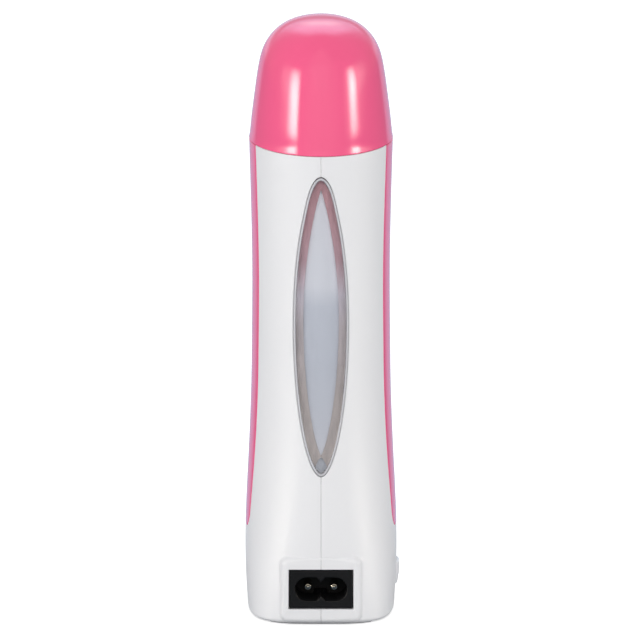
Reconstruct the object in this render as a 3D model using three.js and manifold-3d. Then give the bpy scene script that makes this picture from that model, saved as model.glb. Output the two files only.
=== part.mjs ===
// Handheld roll-on wax heater, standing on its base: a two-part oval housing with pink side panels, a domed
// cap, a leaf-shaped window on the back, a two-pin appliance inlet under it and a rocker switch on the flank.
// Millimetres, +Z up, the back faces -Y, the origin is the centre of the base on the surface it stands on.

import * as THREE from 'three';
import { mergeVertices } from 'three/addons/utils/BufferGeometryUtils.js';
import Module from 'manifold-3d';

const wasm = await Module();
wasm.setup();

// Housing: overall sizes
const cap_edge_height = 156;
const cap_height = 40;
const body_width = 50;
const body_depth = 71.6;
const base_squareness_share = 0.6;
const edge_squareness_share = -0.02;
const wall = 2;
const clearance = 0.3;
const base_edge_radius = 2.2;

// Side silhouette from the base to the cap's edge: share of that height, share of half the body's width
const body_silhouette_shares = [
  [0, 0.957],
  [0.06, 0.987],
  [0.188, 0.996],
  [0.318, 0.957],
  [0.484, 0.917],
  [0.6, 0.908],
  [0.72, 0.905],
  [0.873, 0.921],
  [1, 0.943],
];
// Dome of the cap: share of the cap's height, share of its half width at the edge
const cap_silhouette_shares = [
  [0, 1],
  [0.18, 0.963],
  [0.34, 0.932],
  [0.481, 0.9],
  [0.623, 0.861],
  [0.718, 0.82],
  [0.801, 0.753],
  [0.872, 0.656],
  [0.931, 0.529],
  [0.972, 0.35],
  [1, 0],
];
const body_stations = 11;
const section_sides = 32;
const round_sides = 18;
const small_round_sides = 12;
const corner_steps = 4;
const merge_distance = 0.0001;

// Non-slip pad under the base
const pad_width = 33.6;
const pad_thickness = 1.3;
const pad_recess = 0.4;
const pad_edge_inset = 1.6;
const base_underside = pad_thickness - pad_recess;

// Tongue and groove along the seam of the two halves
const seam_gap = 0.3;
const tongue_length = 1.3;
const tongue_thickness = 0.7;

// Inlaid side panels
const panel_width = 27;
const panel_thickness = 1.5;
const panel_corner_radius = 6;
const panel_below_screws = 4.8;

// Cap and the collar that it fits over
const cap_wall = 1.6;
const neck_height = 6.6;
const neck_wall = 1.9;
const collar_wall_at_edge = 1.65;
const collar_roof = 1.6;

// Pocket for the wax cartridge; its section follows from the housing's waist and what lies between
const chamber_wall = 1.1;
const flank_room = 1;
const seat_height = 49.4;
const floor_flange = 1.8;
const floor_plug = 1.6;
const wrap_thickness = 0.5;
const shelf_thickness = 1.7;
const shelf_land = 2.4;
const cradle_rib_thickness = 1.6;
const cradle_rib_count = 3;

// Leaf-shaped window on the back
const window_above_seat = 0.1;
const window_below_edge = 6.8;
const window_width = 18.6;
const window_top_fullness_share = 0.62;
const window_bottom_fullness_share = 0.53;
const lens_proud = 0.4;
const lens_thickness = 2.1;
const lens_flange_width = 1.3;
const lens_flange_thickness = 0.6;
const gasket_thickness = 0.6;
const pane_above_sill = 6.6;
const pane_below_head = 4.6;
const pane_side_margin = 3.7;
const pane_fullness_share = 0.75;
const pane_thickness = 0.6;
const sight_slot_margin = 0.9;
const leaf_sides = 11;

// Raised surround and two-pin appliance inlet
const boss_width = 26.5;
const boss_height = 21.2;
const boss_corner_radius = 2.3;
const boss_centre_height = 12;
const boss_proud = 0.65;
const boss_depth = 6;
const inlet_opening_width = 21.3;
const inlet_opening_height = 13.3;
const inlet_centre_height = 11.75;
const inlet_recess = 0.5;
const inlet_length = 17.5;
const inlet_flange_thickness = 1.8;
const inlet_flange_overlap = 2;
const inlet_keeper = 1.5;
const socket_width = 17;
const socket_height = 7.85;
const socket_waist = 5.5;
const socket_depth = 12;
const pin_pitch = 8.6;
const pin_diameter = 2.36;
const pin_tip_depth = 3.2;
const pin_tail = 3;
const tag_length = 5.5;
const tag_height = 3;
const tag_thickness = 0.8;

// Rocker switch on the right flank
const rocker_height = 8.4;
const rocker_width = 11;
const rocker_centre_height = 10.9;
const rocker_proud = 1;
const rocker_tilt_deg = 8;
const rocker_gap = 0.6;
const rocker_pivot_depth = 3.7;
const rocker_skirt = 1.6;
const pivot_diameter = 1.8;
const pivot_length = 1;
const switch_wall = 1.5;
const switch_length = 11.5;
const switch_floor = 2;
const terminal_length = 3;
const terminal_inside = 1;
const terminal_width = 3.2;
const terminal_thickness = 0.8;
const terminal_spacing = 6.2;
const switch_shelf_thickness = 1.4;

// Heater, cut-outs and their spring bridge under the pocket's floor
const heater_end_gap = 1.1;
const heater_thickness = 4.6;
const thermostat_length = 20;
const thermostat_width = 7.4;
const thermostat_dimple = 0.7;
const side_part_margin = 2.2;
const side_part_gap = 0.5;
const fuse_diameter = 4;
const fuse_length = 12;
const fuse_lead_length = 3.4;
const fuse_lead_diameter = 0.9;
const bridge_thickness = 0.7;
const bridge_width = 8;
const pillar_diameter = 4.6;
const pillar_margin = 4.4;
const bridge_screw_head_diameter = 4.2;
const bridge_screw_head_height = 1.2;
const bridge_screw_diameter = 2;
const bridge_screw_grip = 3;

// Screws that hold the halves together, hidden under the side panels
const shell_screw_offset = 8.6;
const shell_screw_room = 0.4;
const shell_screw_diameter = 2.6;
const shell_screw_head_diameter = 5;
const shell_screw_head_height = 1.6;
const shell_boss_diameter = 6.2;
const shell_screw_bite = 11;
const shell_screw_head_sink = 1.7;

// Wires
const wire_diameter = 1.6;
const wire_sides = 6;
const wire_steps = 10;

// Derived sizes
const half_width_max = body_width / 2;
const depth_ratio = body_depth / body_width;
const total_height = cap_edge_height + cap_height;
const edge_half_width = half_width_max * body_silhouette_shares.at(-1)[1];
const overrun = body_width + body_depth;
const edge_radii = [edge_half_width, edge_half_width * depth_ratio];
const neck_top = cap_edge_height + neck_height;
const collar_outer_inset = cap_wall + clearance;
const neck_radii = grown(edge_radii, -collar_outer_inset - collar_wall_at_edge - clearance);
const neck_opening_radii = grown(neck_radii, -neck_wall);
const shoulder = cap_edge_height - clearance / 2;
const shoulder_underside = shoulder - wall;
const chamber_top = shoulder_underside - clearance;
const floor_flange_top = seat_height - floor_plug;
const floor_underside = floor_flange_top - floor_flange;
const chamber_bottom = floor_flange_top + clearance;
const shelf_top = floor_underside - clearance;
const lens_back = lens_thickness - lens_proud;
const lens_flange_front = wall + clearance;
const lens_flange_back = lens_flange_front + lens_flange_thickness;
const gasket_front = lens_flange_back + clearance;
const panel_floor = panel_thickness + clearance;
const panel_backing_inset = panel_floor + wall - clearance;
const heater_top = floor_underside - clearance;
const heater_low = heater_top - heater_thickness;
const pillar_bottom = heater_low;
const bridge_top = pillar_bottom - clearance;
const bridge_low = bridge_top - bridge_thickness;
const bridge_screws_low = bridge_low - clearance - bridge_screw_head_height;
const shell_screw_height = bridge_screws_low - shell_screw_room - shell_boss_diameter / 2;
const panel_bottom = shell_screw_height - shell_screw_head_diameter / 2 - panel_below_screws;
const window_bottom = seat_height + window_above_seat;
const window_top = cap_edge_height - window_below_edge;

function grown(radii, by) {
  return radii.map((radius) => radius + by);
}

// The outline of the whole object, seen from the back, as half widths at heights
function outlinePoints(shares, half_width, low, height) {
  return shares.map(([up, across]) => new THREE.Vector2(across * half_width, low + up * height));
}
const body_points = outlinePoints(body_silhouette_shares, half_width_max, 0, cap_edge_height);
const body_outline = new THREE.SplineCurve(body_points).getPoints(body_stations);
const cap_outline = outlinePoints(cap_silhouette_shares, edge_half_width, cap_edge_height, cap_height);
const outline = [...body_outline, ...cap_outline.slice(1)];

// The pocket fits the housing at its waist, and the parts under it fit the opening of its shelf
const waist = Math.min(...body_outline.map((point) => point.x));
const wrap_radii = [
  waist - panel_backing_inset - flank_room,
  waist * depth_ratio - gasket_front - gasket_thickness + wrap_thickness,
];
const wrap_inner_radii = grown(wrap_radii, -wrap_thickness);
const chamber_radii = grown(wrap_inner_radii, -clearance);
const pocket_radii = grown(chamber_radii, -chamber_wall);
const window_front = pocket_radii[1] / 2;
const shelf_opening = grown(chamber_radii, -shelf_land);
const side_part_offset = shelf_opening[0] - side_part_margin - thermostat_width / 2;
const heater_width = 2 * side_part_offset - thermostat_width - 2 * side_part_gap;
const pillar_offset = shelf_opening[1] - pillar_margin - pillar_diameter / 2;
const heater_length = 2 * (pillar_offset - heater_end_gap) - pillar_diameter;

function halfWidthAt(height) {
  if (height >= total_height) return 0;
  const next = Math.max(1, outline.findIndex((point) => point.y > height));
  const [lower, upper] = [outline[next - 1], outline[next]];
  return lower.x + ((upper.x - lower.x) * (height - lower.y)) / (upper.y - lower.y);
}

// Turns a three.js geometry into a solid for joining and cutting
function solid(geometry) {
  const bare = geometry.clone();
  bare.deleteAttribute('normal');
  if (bare.attributes.uv) bare.deleteAttribute('uv');
  const merged = mergeVertices(bare, merge_distance);
  const places = merged.attributes.position.array;
  const corners = merged.index.array;
  const kept = [];
  let volume = 0;
  for (let i = 0; i < corners.length; i += 3) {
    const [a, b, c] = corners.slice(i, i + 3);
    if (a === b || b === c || c === a) continue;
    kept.push(a, b, c);
    const [p, q, r] = [a, b, c].map((corner) => new THREE.Vector3().fromArray(places, 3 * corner));
    volume += p.dot(q.cross(r));
  }
  if (volume < 0) kept.reverse();
  const [vertProperties, triVerts] = [Float32Array.from(places), Uint32Array.from(kept)];
  return new wasm.Manifold(new wasm.Mesh({ numProp: 3, vertProperties, triVerts }));
}

// Superellipse section shared by the housing, cap, collar and pocket: squarer toward the base than above it
function squarenessAt(height) {
  const down = 1 - Math.min(1, Math.max(0, height / cap_edge_height));
  return edge_squareness_share + (base_squareness_share - edge_squareness_share) * down ** 5;
}

function ovalPoint(turn, half_width, half_depth, squareness = edge_squareness_share) {
  const [across, along] = [Math.cos(turn), Math.sin(turn)];
  const power = 1 / (1 + squareness);
  const x = Math.sign(across) * Math.abs(across) ** power * half_width;
  const y = Math.sign(along) * Math.abs(along) ** power * half_depth;
  return new THREE.Vector2(x, y);
}

// The housing's form between two heights, its skin moved in by an inset: a profile revolved, then made oval
function housingForm(inset, low, high, edge_radius = 0) {
  const reduce = (height) => {
    const up = Math.min(height - low, edge_radius);
    return edge_radius - Math.sqrt(Math.max(0, edge_radius ** 2 - (edge_radius - up) ** 2));
  };
  const edge_shares = edge_radius > 0 ? [0.08, 0.3, 0.62] : [];
  const heights = [low, ...edge_shares.map((share) => low + share * edge_radius)];
  for (const { y } of outline) {
    if (y > low + edge_radius + clearance && y < high - clearance) heights.push(y);
  }
  heights.push(high);
  const profile = [new THREE.Vector2(0, low)];
  for (const height of heights) {
    const half_width = halfWidthAt(height) - inset - reduce(height);
    if (half_width > clearance) profile.push(new THREE.Vector2(half_width, height));
  }
  profile.push(new THREE.Vector2(0, high));
  return solid(madeOval(profile, inset));
}

function madeOval(profile, inset) {
  const geometry = new THREE.LatheGeometry(profile, section_sides);
  const place = geometry.attributes.position;
  for (let i = 0; i < place.count; i++) {
    const [x, height, z] = [place.getX(i), place.getY(i), place.getZ(i)];
    const radius = Math.hypot(x, z);
    const turn = Math.atan2(x, z);
    const half_depth = (radius + inset) * depth_ratio - inset;
    const on_axis = radius <= clearance / 2;
    const point = on_axis ? new THREE.Vector2() : ovalPoint(turn, radius, half_depth, squarenessAt(height));
    place.setXYZ(i, point.x, point.y, height);
  }
  return geometry;
}

function ovalShape([half_width, half_depth]) {
  const points = [];
  for (let i = 0; i < section_sides; i++) {
    points.push(ovalPoint((i / section_sides) * 2 * Math.PI, half_width, half_depth));
  }
  return new THREE.Shape(points);
}

function rectangle(width, height, radius = 0, across = 0, up = 0) {
  const [right, top] = [width / 2, height / 2];
  const shape = new THREE.Shape();
  if (radius === 0) {
    shape.moveTo(across - right, up - top).lineTo(across + right, up - top);
    shape.lineTo(across + right, up + top).lineTo(across - right, up + top);
    return shape;
  }
  shape.moveTo(across - right + radius, up - top);
  const corners = [[1, -1, -0.5], [1, 1, 0], [-1, 1, 0.5], [-1, -1, 1]];
  for (const [side, end, turn] of corners) {
    const start = turn * Math.PI;
    const [centre_x, centre_y] = [across + side * (right - radius), up + end * (top - radius)];
    shape.absarc(centre_x, centre_y, radius, start, start + Math.PI / 2, false);
  }
  return shape;
}

function circle(diameter, across = 0, up = 0, sides = round_sides) {
  const points = [];
  const radius = diameter / 2;
  for (let i = 0; i < sides; i++) {
    const turn = (i / sides) * 2 * Math.PI;
    points.push(new THREE.Vector2(across + radius * Math.cos(turn), up + radius * Math.sin(turn)));
  }
  return new THREE.Shape(points);
}

// A leaf with pointed ends, the outline of the window and of the pieces behind it
function leaf(width, low, high, fullness_top, fullness_bottom) {
  const [right, left] = [[], []];
  for (let i = 0; i <= leaf_sides; i++) {
    const along = -Math.cos((i / leaf_sides) * Math.PI);
    const fullness = along > 0 ? fullness_top : fullness_bottom;
    const half = (width / 2) * Math.max(0, 1 - along ** 2) ** fullness;
    const up = (low + high + along * (high - low)) / 2;
    const end = i === 0 || i === leaf_sides;
    right.push(new THREE.Vector2(end ? 0 : half, up));
    if (!end) left.unshift(new THREE.Vector2(-half, up));
  }
  return new THREE.Shape([...right, ...left]);
}

// Straight bars of a section: along X, along Y and upright
function turned(shape, from, to, basis) {
  const settings = { depth: to - from, bevelEnabled: false, curveSegments: corner_steps };
  const geometry = new THREE.ExtrudeGeometry(shape, settings);
  geometry.translate(0, 0, from);
  geometry.applyMatrix4(new THREE.Matrix4().makeBasis(...basis));
  return solid(geometry);
}
const [x_axis, y_axis, z_axis] = [[1, 0, 0], [0, 1, 0], [0, 0, 1]].map((axis) => new THREE.Vector3(...axis));
const barAlongX = (shape, from, to) => turned(shape, from, to, [y_axis, z_axis, x_axis]);
const to_back = y_axis.clone().negate();
const barTowardBack = (shape, front, back) => turned(shape, front, back, [x_axis, z_axis, to_back]);
const barUp = (shape, from, to) => turned(shape, from, to, [x_axis, y_axis, z_axis]);

function block(width, depth, height, x, y, z) {
  const geometry = new THREE.BoxGeometry(width, depth, height);
  geometry.translate(x, y, z);
  return solid(geometry);
}

const group = new THREE.Group();
function addPart(name, form, color, roughness, metalness = 0, opacity = 1) {
  const { vertProperties, triVerts } = form.getMesh();
  const geometry = new THREE.BufferGeometry();
  geometry.setAttribute('position', new THREE.BufferAttribute(vertProperties, 3));
  geometry.setIndex(new THREE.BufferAttribute(triVerts, 1));
  geometry.computeVertexNormals();
  const look = { color, roughness, metalness, opacity, transparent: opacity < 1 };
  const mesh = new THREE.Mesh(geometry, new THREE.MeshStandardMaterial(look));
  mesh.name = name;
  group.add(mesh);
}

const colors = {
  white: '#e9e8eb',
  pink: '#f2628d',
  collar: '#ececee',
  clear: '#e6e7ea',
  gasket: '#96878a',
  frosted: '#cfd1d6',
  aluminium: '#b9bcc0',
  polyimide: '#8f5a2c',
  black: '#1b1b1d',
  nickel: '#cfcabf',
  ceramic: '#d8d2c4',
  steel: '#a9acb0',
  rubber: '#a3a3a6',
  brass: '#c3a25a',
  sleeve: '#e7e2d5',
  wire_brown: '#6b4630',
  wire_blue: '#3c5f96',
};

// Housing shell, made whole and then parted along the seam
function windowOutline(grow) {
  const [low, high] = [window_bottom - grow, window_top + grow];
  return leaf(window_width + 2 * grow, low, high, window_top_fullness_share, window_bottom_fullness_share);
}
function panelShape(grow) {
  const half = panel_width / 2 + grow;
  const radius = panel_corner_radius + grow;
  const bottom = panel_bottom - grow;
  const top = cap_edge_height + overrun;
  const shape = new THREE.Shape();
  shape.moveTo(-half, top).lineTo(-half, bottom + radius);
  shape.absarc(-half + radius, bottom + radius, radius, Math.PI, 1.5 * Math.PI, false);
  shape.absarc(half - radius, bottom + radius, radius, 1.5 * Math.PI, 2 * Math.PI, false);
  shape.lineTo(half, top);
  return shape;
}
const flankBar = (shape) => barAlongX(shape, -overrun, overrun);
const slab = (low, high) => block(2 * overrun, 2 * overrun, high - low, 0, 0, (low + high) / 2);

const skin = housingForm(0, base_underside, shoulder, base_edge_radius);
const hollow = housingForm(wall, base_underside + wall, shoulder_underside, base_edge_radius / 2);
const neck = barUp(ovalShape(neck_radii), shoulder_underside, neck_top);
const neck_bore = barUp(ovalShape(neck_opening_radii), shoulder_underside - overrun, neck_top + overrun);
const above_hollow = slab(shoulder_underside, neck_top + overrun);

// Thicker flank behind each side panel, and the recess that the panel lies in
const backing_top = shoulder - wall / 2;
const backing = housingForm(wall / 2, panel_bottom - wall, backing_top)
  .subtract(housingForm(panel_backing_inset, panel_bottom - 2 * wall, backing_top + wall))
  .intersect(flankBar(panelShape(wall)));
const panel_recess_outer = housingForm(-wall, panel_bottom - 2 * wall, shoulder - clearance);
const panel_recess_inner = housingForm(panel_floor, panel_bottom - 3 * wall, shoulder + wall);
const flanks_only = block(2 * overrun, panel_width * 2, total_height, 0, 0, total_height / 2).subtract(
  block(edge_half_width, panel_width * 2, total_height, 0, 0, total_height / 2),
);
const panel_recess = panel_recess_outer.subtract(panel_recess_inner)
  .intersect(flankBar(panelShape(clearance)))
  .intersect(flanks_only);

// Shelf under the pocket's floor and the ribs that cradle its sleeve
const rib_outer_inset = wall / 2;
function innerRib(low, thickness, opening_radii) {
  return housingForm(rib_outer_inset, low, low + thickness)
    .subtract(barUp(ovalShape(opening_radii), low - wall, low + thickness + wall));
}
let ribs = innerRib(shelf_top - shelf_thickness, shelf_thickness, shelf_opening);
for (let i = 0; i < cradle_rib_count; i++) {
  const low = seat_height + ((i + 0.5) * (chamber_top - seat_height)) / cradle_rib_count;
  ribs = ribs.add(innerRib(low, cradle_rib_thickness, grown(wrap_radii, clearance)));
}
const window_clear = barTowardBack(windowOutline(lens_flange_width + clearance), window_front, overrun);
ribs = ribs.subtract(window_clear);

// Raised surround of the inlet, the opening through it and the ribs behind the inlet's flange
const boss_face = halfWidthAt(boss_centre_height) * depth_ratio + boss_proud;
const boss_back = boss_face - boss_depth;
const boss = barTowardBack(
  rectangle(boss_width, boss_height, boss_corner_radius, 0, boss_centre_height), boss_back, boss_face);
const inlet_opening = barTowardBack(
  rectangle(inlet_opening_width, inlet_opening_height, 0, 0, inlet_centre_height), 0, overrun);
const inlet_flange_width = inlet_opening_width + 2 * inlet_flange_overlap;
const inlet_flange_height = inlet_opening_height + 2 * inlet_flange_overlap - 2 * clearance;
const inlet_flange_front = boss_back - clearance;
const inlet_flange_back = inlet_flange_front - inlet_flange_thickness;
const keeper_front = inlet_flange_back - clearance;
const keeper_back = keeper_front - inlet_keeper;
const keeper = barTowardBack(
  rectangle(body_width, inlet_flange_height, 0, 0, inlet_centre_height), keeper_back, keeper_front)
  .subtract(inlet_opening)
  .intersect(housingForm(rib_outer_inset, base_underside + wall / 2, shoulder_underside));

// Screw bosses across the housing under the pocket's floor
const flank_at_screw = halfWidthAt(shell_screw_height) - panel_floor;
const barAtScrew = (side, diameter, from, to) =>
  barAlongX(circle(diameter, side * shell_screw_offset, shell_screw_height, small_round_sides), from, to);
const acrossHousing = (diameter, from, to) =>
  barAtScrew(-1, diameter, from, to).add(barAtScrew(1, diameter, from, to));
const bosses = acrossHousing(shell_boss_diameter, -flank_at_screw, flank_at_screw)
  .intersect(housingForm(panel_backing_inset - clearance, base_underside, shoulder));
const head_floor = -flank_at_screw + shell_screw_head_height + shell_screw_head_sink;
const head_pockets = acrossHousing(shell_screw_head_diameter + 2 * clearance, -overrun, head_floor);
const screw_hole_end = shell_screw_bite + clearance;
const screw_holes = acrossHousing(shell_screw_diameter + 2 * clearance, -overrun, screw_hole_end);

// Pad recess in the underside
const padForm = (grow) => housingForm(pad_edge_inset - grow, 0, pad_thickness + grow)
  .intersect(block(pad_width + 2 * grow, 2 * overrun, overrun, 0, 0, 0));

// Rocker opening and the shelves that hold the switch on the right flank
const rocker_face = halfWidthAt(rocker_centre_height) + rocker_proud;
const pivot_x = halfWidthAt(rocker_centre_height) - rocker_pivot_depth;
const [opening_width, opening_height] = [rocker_width + 2 * clearance, rocker_height + 2 * rocker_gap];
const rocker_opening = barAlongX(
  rectangle(opening_width, opening_height, 0, 0, rocker_centre_height), 0, overrun);
const switch_height = opening_height + 2 * switch_wall;
const switch_width = opening_width + 2 * switch_wall;
const switch_front = pivot_x + pivot_diameter / 2;
const switch_back = switch_front - switch_length;
let switch_shelves = null;
for (const side of [-1, 1]) {
  const up = rocker_centre_height + side * (switch_height / 2 + clearance + switch_shelf_thickness / 2);
  const shelf = block(switch_length + wall, switch_width, switch_shelf_thickness,
    switch_back + (switch_length + wall) / 2 + wall, 0, up);
  switch_shelves = switch_shelves ? switch_shelves.add(shelf) : shelf;
}
switch_shelves = switch_shelves.intersect(housingForm(rib_outer_inset, base_underside, shoulder));

let housing = skin.subtract(hollow).add(neck).subtract(neck_bore.intersect(above_hollow));
housing = housing.add(backing).add(ribs).add(boss).add(keeper).add(bosses);
housing = housing.subtract(panel_recess).subtract(inlet_opening.intersect(
  block(2 * overrun, overrun, overrun, 0, -boss_back - overrun / 2 + wall, overrun / 2)));
housing = housing.subtract(barTowardBack(windowOutline(0), window_front, overrun));
housing = housing.subtract(padForm(clearance)).subtract(screw_holes);

// Tongue on the left half, groove in the right one, inside the seam's wall
const tongue_inset = wall - tongue_thickness;
const ring = (inset_out, inset_in, top) => housingForm(inset_out, base_underside + inset_out, top)
  .subtract(housingForm(inset_in, base_underside + inset_in, top + wall));
const seamBand = (from, to) =>
  block(to - from, 2 * overrun, total_height, (from + to) / 2, 0, total_height / 2);
const tongue_top = shoulder_underside - wall;
const seamInterrupted = (grow) => barTowardBack(
  rectangle(boss_width, boss_height + 2 * grow, 0, 0, boss_centre_height),
  keeper_back - grow, overrun)
  .add(barTowardBack(windowOutline(lens_flange_width + clearance + grow), window_front, overrun));
const tongue_space = ring(tongue_inset, wall, tongue_top - clearance).subtract(seamInterrupted(clearance));
const groove_space = ring(tongue_inset - clearance, wall + clearance, tongue_top)
  .subtract(seamInterrupted(0));
const left_half = seamBand(-overrun, -seam_gap / 2);
const right_half = seamBand(seam_gap / 2, overrun);
const tongue = housing.intersect(tongue_space).intersect(seamBand(-seam_gap, tongue_length));
const groove = groove_space.intersect(seamBand(0, tongue_length + clearance));

const left_shell = housing.subtract(head_pockets).intersect(left_half).add(tongue);
const right_shell = housing.intersect(right_half).subtract(groove).add(switch_shelves)
  .subtract(rocker_opening);
addPart('left_shell', left_shell, colors.white, 0.32);
addPart('right_shell', right_shell, colors.white, 0.32);

// Pink panels laid into the flanks
const panel_body = housingForm(0, panel_bottom - wall, shoulder - 2 * clearance)
  .subtract(housingForm(panel_thickness, panel_bottom - 2 * wall, shoulder + wall))
  .intersect(flankBar(panelShape(0)));
const left_panel = panel_body.intersect(seamBand(-overrun, -edge_half_width / 2));
const right_panel = panel_body.intersect(seamBand(edge_half_width / 2, overrun));
addPart('left_side_panel', left_panel, colors.pink, 0.25);
addPart('right_side_panel', right_panel, colors.pink, 0.25);

// Domed cap, open below
const cap_bottom = cap_edge_height + clearance / 2;
const cap_skin = housingForm(0, cap_bottom, total_height);
const cap_mouth = edge_half_width - cap_wall;
const cap_inner_profile = [0, cap_mouth].map((across) => new THREE.Vector2(across, cap_bottom - wall));
for (const { x, y } of cap_outline) {
  const rise = (y - cap_edge_height) / cap_height;
  if (x > 2 * cap_wall) cap_inner_profile.push(new THREE.Vector2(x - cap_wall, y - rise * cap_wall));
}
cap_inner_profile.push(new THREE.Vector2(0, total_height - cap_wall));
const cap_hollow = solid(madeOval(cap_inner_profile, cap_wall));
addPart('cap', cap_skin.subtract(cap_hollow), colors.pink, 0.12);

// Collar pressed over the neck: it holds the halves together, guides the cap and frames the pocket's mouth
const collar_bottom = shoulder + clearance;
const collar_roof_low = neck_top + clearance;
const collar_top = collar_roof_low + collar_roof;
const collar = housingForm(collar_outer_inset, collar_bottom, collar_top)
  .subtract(barUp(ovalShape(grown(neck_radii, clearance)), collar_bottom - wall, collar_roof_low))
  .subtract(barUp(ovalShape(grown(pocket_radii, -clearance)), collar_bottom, collar_top + wall));
addPart('cartridge_collar', collar, colors.collar, 0.4);

// Window: clear lens with a hidden flange, heat-resistant gasket and frosted sight pane
const behind = (radii, low, high) => barUp(ovalShape(radii), low, high);
const lens_front_form = housingForm(-lens_proud, panel_bottom, shoulder);
const lens_back_form = housingForm(lens_back, panel_bottom - wall, shoulder + wall);
const lens_plug_back_form = housingForm(lens_flange_back, panel_bottom - wall, shoulder + wall);
const windowBar = (grow) => barTowardBack(windowOutline(grow), window_front, overrun);
const lens_plug = lens_front_form.subtract(lens_back_form).intersect(windowBar(-clearance));
const lens_rim = housingForm(lens_back - clearance, panel_bottom, shoulder)
  .subtract(lens_plug_back_form)
  .intersect(windowBar(-clearance).subtract(windowBar(-2 * lens_flange_width)));
const lens_flange = housingForm(lens_flange_front, panel_bottom, shoulder)
  .subtract(lens_plug_back_form)
  .intersect(windowBar(lens_flange_width).subtract(windowBar(-2 * lens_flange_width)));
addPart('window_lens', lens_plug.add(lens_rim).add(lens_flange), colors.clear, 0.08, 0, 0.35);

function paneOutline(grow) {
  const width = window_width + 2 * (grow - pane_side_margin);
  const [low, high] = [window_bottom + pane_above_sill - grow, window_top - pane_below_head + grow];
  return leaf(width, low, high, pane_fullness_share, pane_fullness_share);
}
const paneBar = (grow) => barTowardBack(paneOutline(grow), window_front, overrun);
const gasket = housingForm(gasket_front, panel_bottom, shoulder)
  .subtract(behind(wrap_inner_radii, panel_bottom - wall, shoulder + wall))
  .intersect(windowBar(lens_flange_width)).subtract(paneBar(0));
addPart('window_gasket', gasket, colors.gasket, 0.6);

const pane = behind(grown(wrap_inner_radii, pane_thickness), panel_bottom, shoulder)
  .subtract(behind(wrap_inner_radii, panel_bottom - wall, shoulder + wall))
  .intersect(paneBar(-clearance));
addPart('sight_pane', pane, colors.frosted, 0.5, 0, 0.9);

// Pocket for the wax cartridge: aluminium sleeve on a cast floor, wrapped in brown insulating film
const chamber = behind(chamber_radii, chamber_bottom, chamber_top)
  .subtract(behind(pocket_radii, chamber_bottom - wall, chamber_top + wall))
  .subtract(paneBar(-clearance - sight_slot_margin));
addPart('heating_sleeve', chamber, colors.aluminium, 0.35, 1);

const bridge_hole = bridge_screw_diameter + 2 * clearance;
const barAtPillar = (offset, diameter, from, to) =>
  barUp(circle(diameter, 0, offset, small_round_sides), from, to);
const bridge_hole_top = pillar_bottom + bridge_screw_grip + clearance;
const pillars = [-pillar_offset, pillar_offset].map((offset) =>
  barAtPillar(offset, pillar_diameter, pillar_bottom, floor_underside + floor_flange / 2)
    .subtract(barAtPillar(offset, bridge_hole, pillar_bottom - wall, bridge_hole_top)));
const pocket_floor = behind(chamber_radii, floor_underside, floor_flange_top)
  .add(behind(grown(pocket_radii, -clearance), floor_underside, seat_height))
  .add(pillars[0]).add(pillars[1]);
addPart('pocket_floor', pocket_floor, colors.aluminium, 0.45, 1);

const wrap_low = chamber_bottom + clearance;
const wrap_high = chamber_top - wall;
const wrap = behind(wrap_radii, wrap_low, wrap_high)
  .subtract(behind(wrap_inner_radii, wrap_low - wall, wrap_high + wall))
  .subtract(windowBar(lens_flange_width + clearance));
addPart('insulation_wrap', wrap, colors.polyimide, 0.5);

// Heating element, thermostat and thermal fuse pressed up against the floor by a spring bridge
const heater_centre = (heater_top + heater_low) / 2;
const heater_core = block(heater_width, heater_length, heater_thickness, 0, 0, heater_centre);
addPart('heating_element', heater_core, colors.ceramic, 0.7);

const thermostat_body = block(thermostat_width, thermostat_length, heater_thickness,
  side_part_offset, 0, heater_centre);
const thermostat_hollow = block(thermostat_width / 2, thermostat_length / 2, 2 * thermostat_dimple,
  side_part_offset, 0, heater_low);
addPart('thermostat', thermostat_body.subtract(thermostat_hollow), colors.steel, 0.4, 1);

const fuse_centre = heater_top - fuse_diameter / 2;
const fuseBar = (diameter, length) => barTowardBack(
  circle(diameter, -side_part_offset, fuse_centre, small_round_sides), -length / 2, length / 2);
const fuse = fuseBar(fuse_diameter, fuse_length)
  .add(fuseBar(fuse_lead_diameter, fuse_length + 2 * fuse_lead_length));
addPart('thermal_fuse', fuse, colors.sleeve, 0.55);

const bridge_reach = 2 * pillar_offset + pillar_diameter;
const bridge_span = 2 * side_part_offset + fuse_diameter;
const bridge = barUp(rectangle(bridge_width, bridge_reach), bridge_low, bridge_top)
  .add(barUp(rectangle(bridge_span, bridge_width), bridge_low, bridge_top))
  .subtract(barAtPillar(-pillar_offset, bridge_hole, bridge_low - wall, bridge_top + wall))
  .subtract(barAtPillar(pillar_offset, bridge_hole, bridge_low - wall, bridge_top + wall));
addPart('spring_bridge', bridge, colors.steel, 0.3, 1);

const bridgeScrew = (offset) => {
  const head_top = bridge_low - clearance;
  return barAtPillar(offset, bridge_screw_head_diameter, bridge_screws_low, head_top)
    .add(barAtPillar(offset, bridge_screw_diameter, head_top - clearance, pillar_bottom + bridge_screw_grip));
};
addPart('bridge_screw_back', bridgeScrew(-pillar_offset), colors.steel, 0.3, 1);
addPart('bridge_screw_front', bridgeScrew(pillar_offset), colors.steel, 0.3, 1);

// Screws across the housing
const shell_screw_head_low = head_floor - clearance - shell_screw_head_height;
for (const [side, name] of [[-1, 'shell_screw_back'], [1, 'shell_screw_front']]) {
  const head_high = shell_screw_head_low + shell_screw_head_height;
  const screw = barAtScrew(side, shell_screw_head_diameter, shell_screw_head_low, head_high)
    .add(barAtScrew(side, shell_screw_diameter, shell_screw_head_low, shell_screw_bite));
  addPart(name, screw, colors.steel, 0.3, 1);
}

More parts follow.
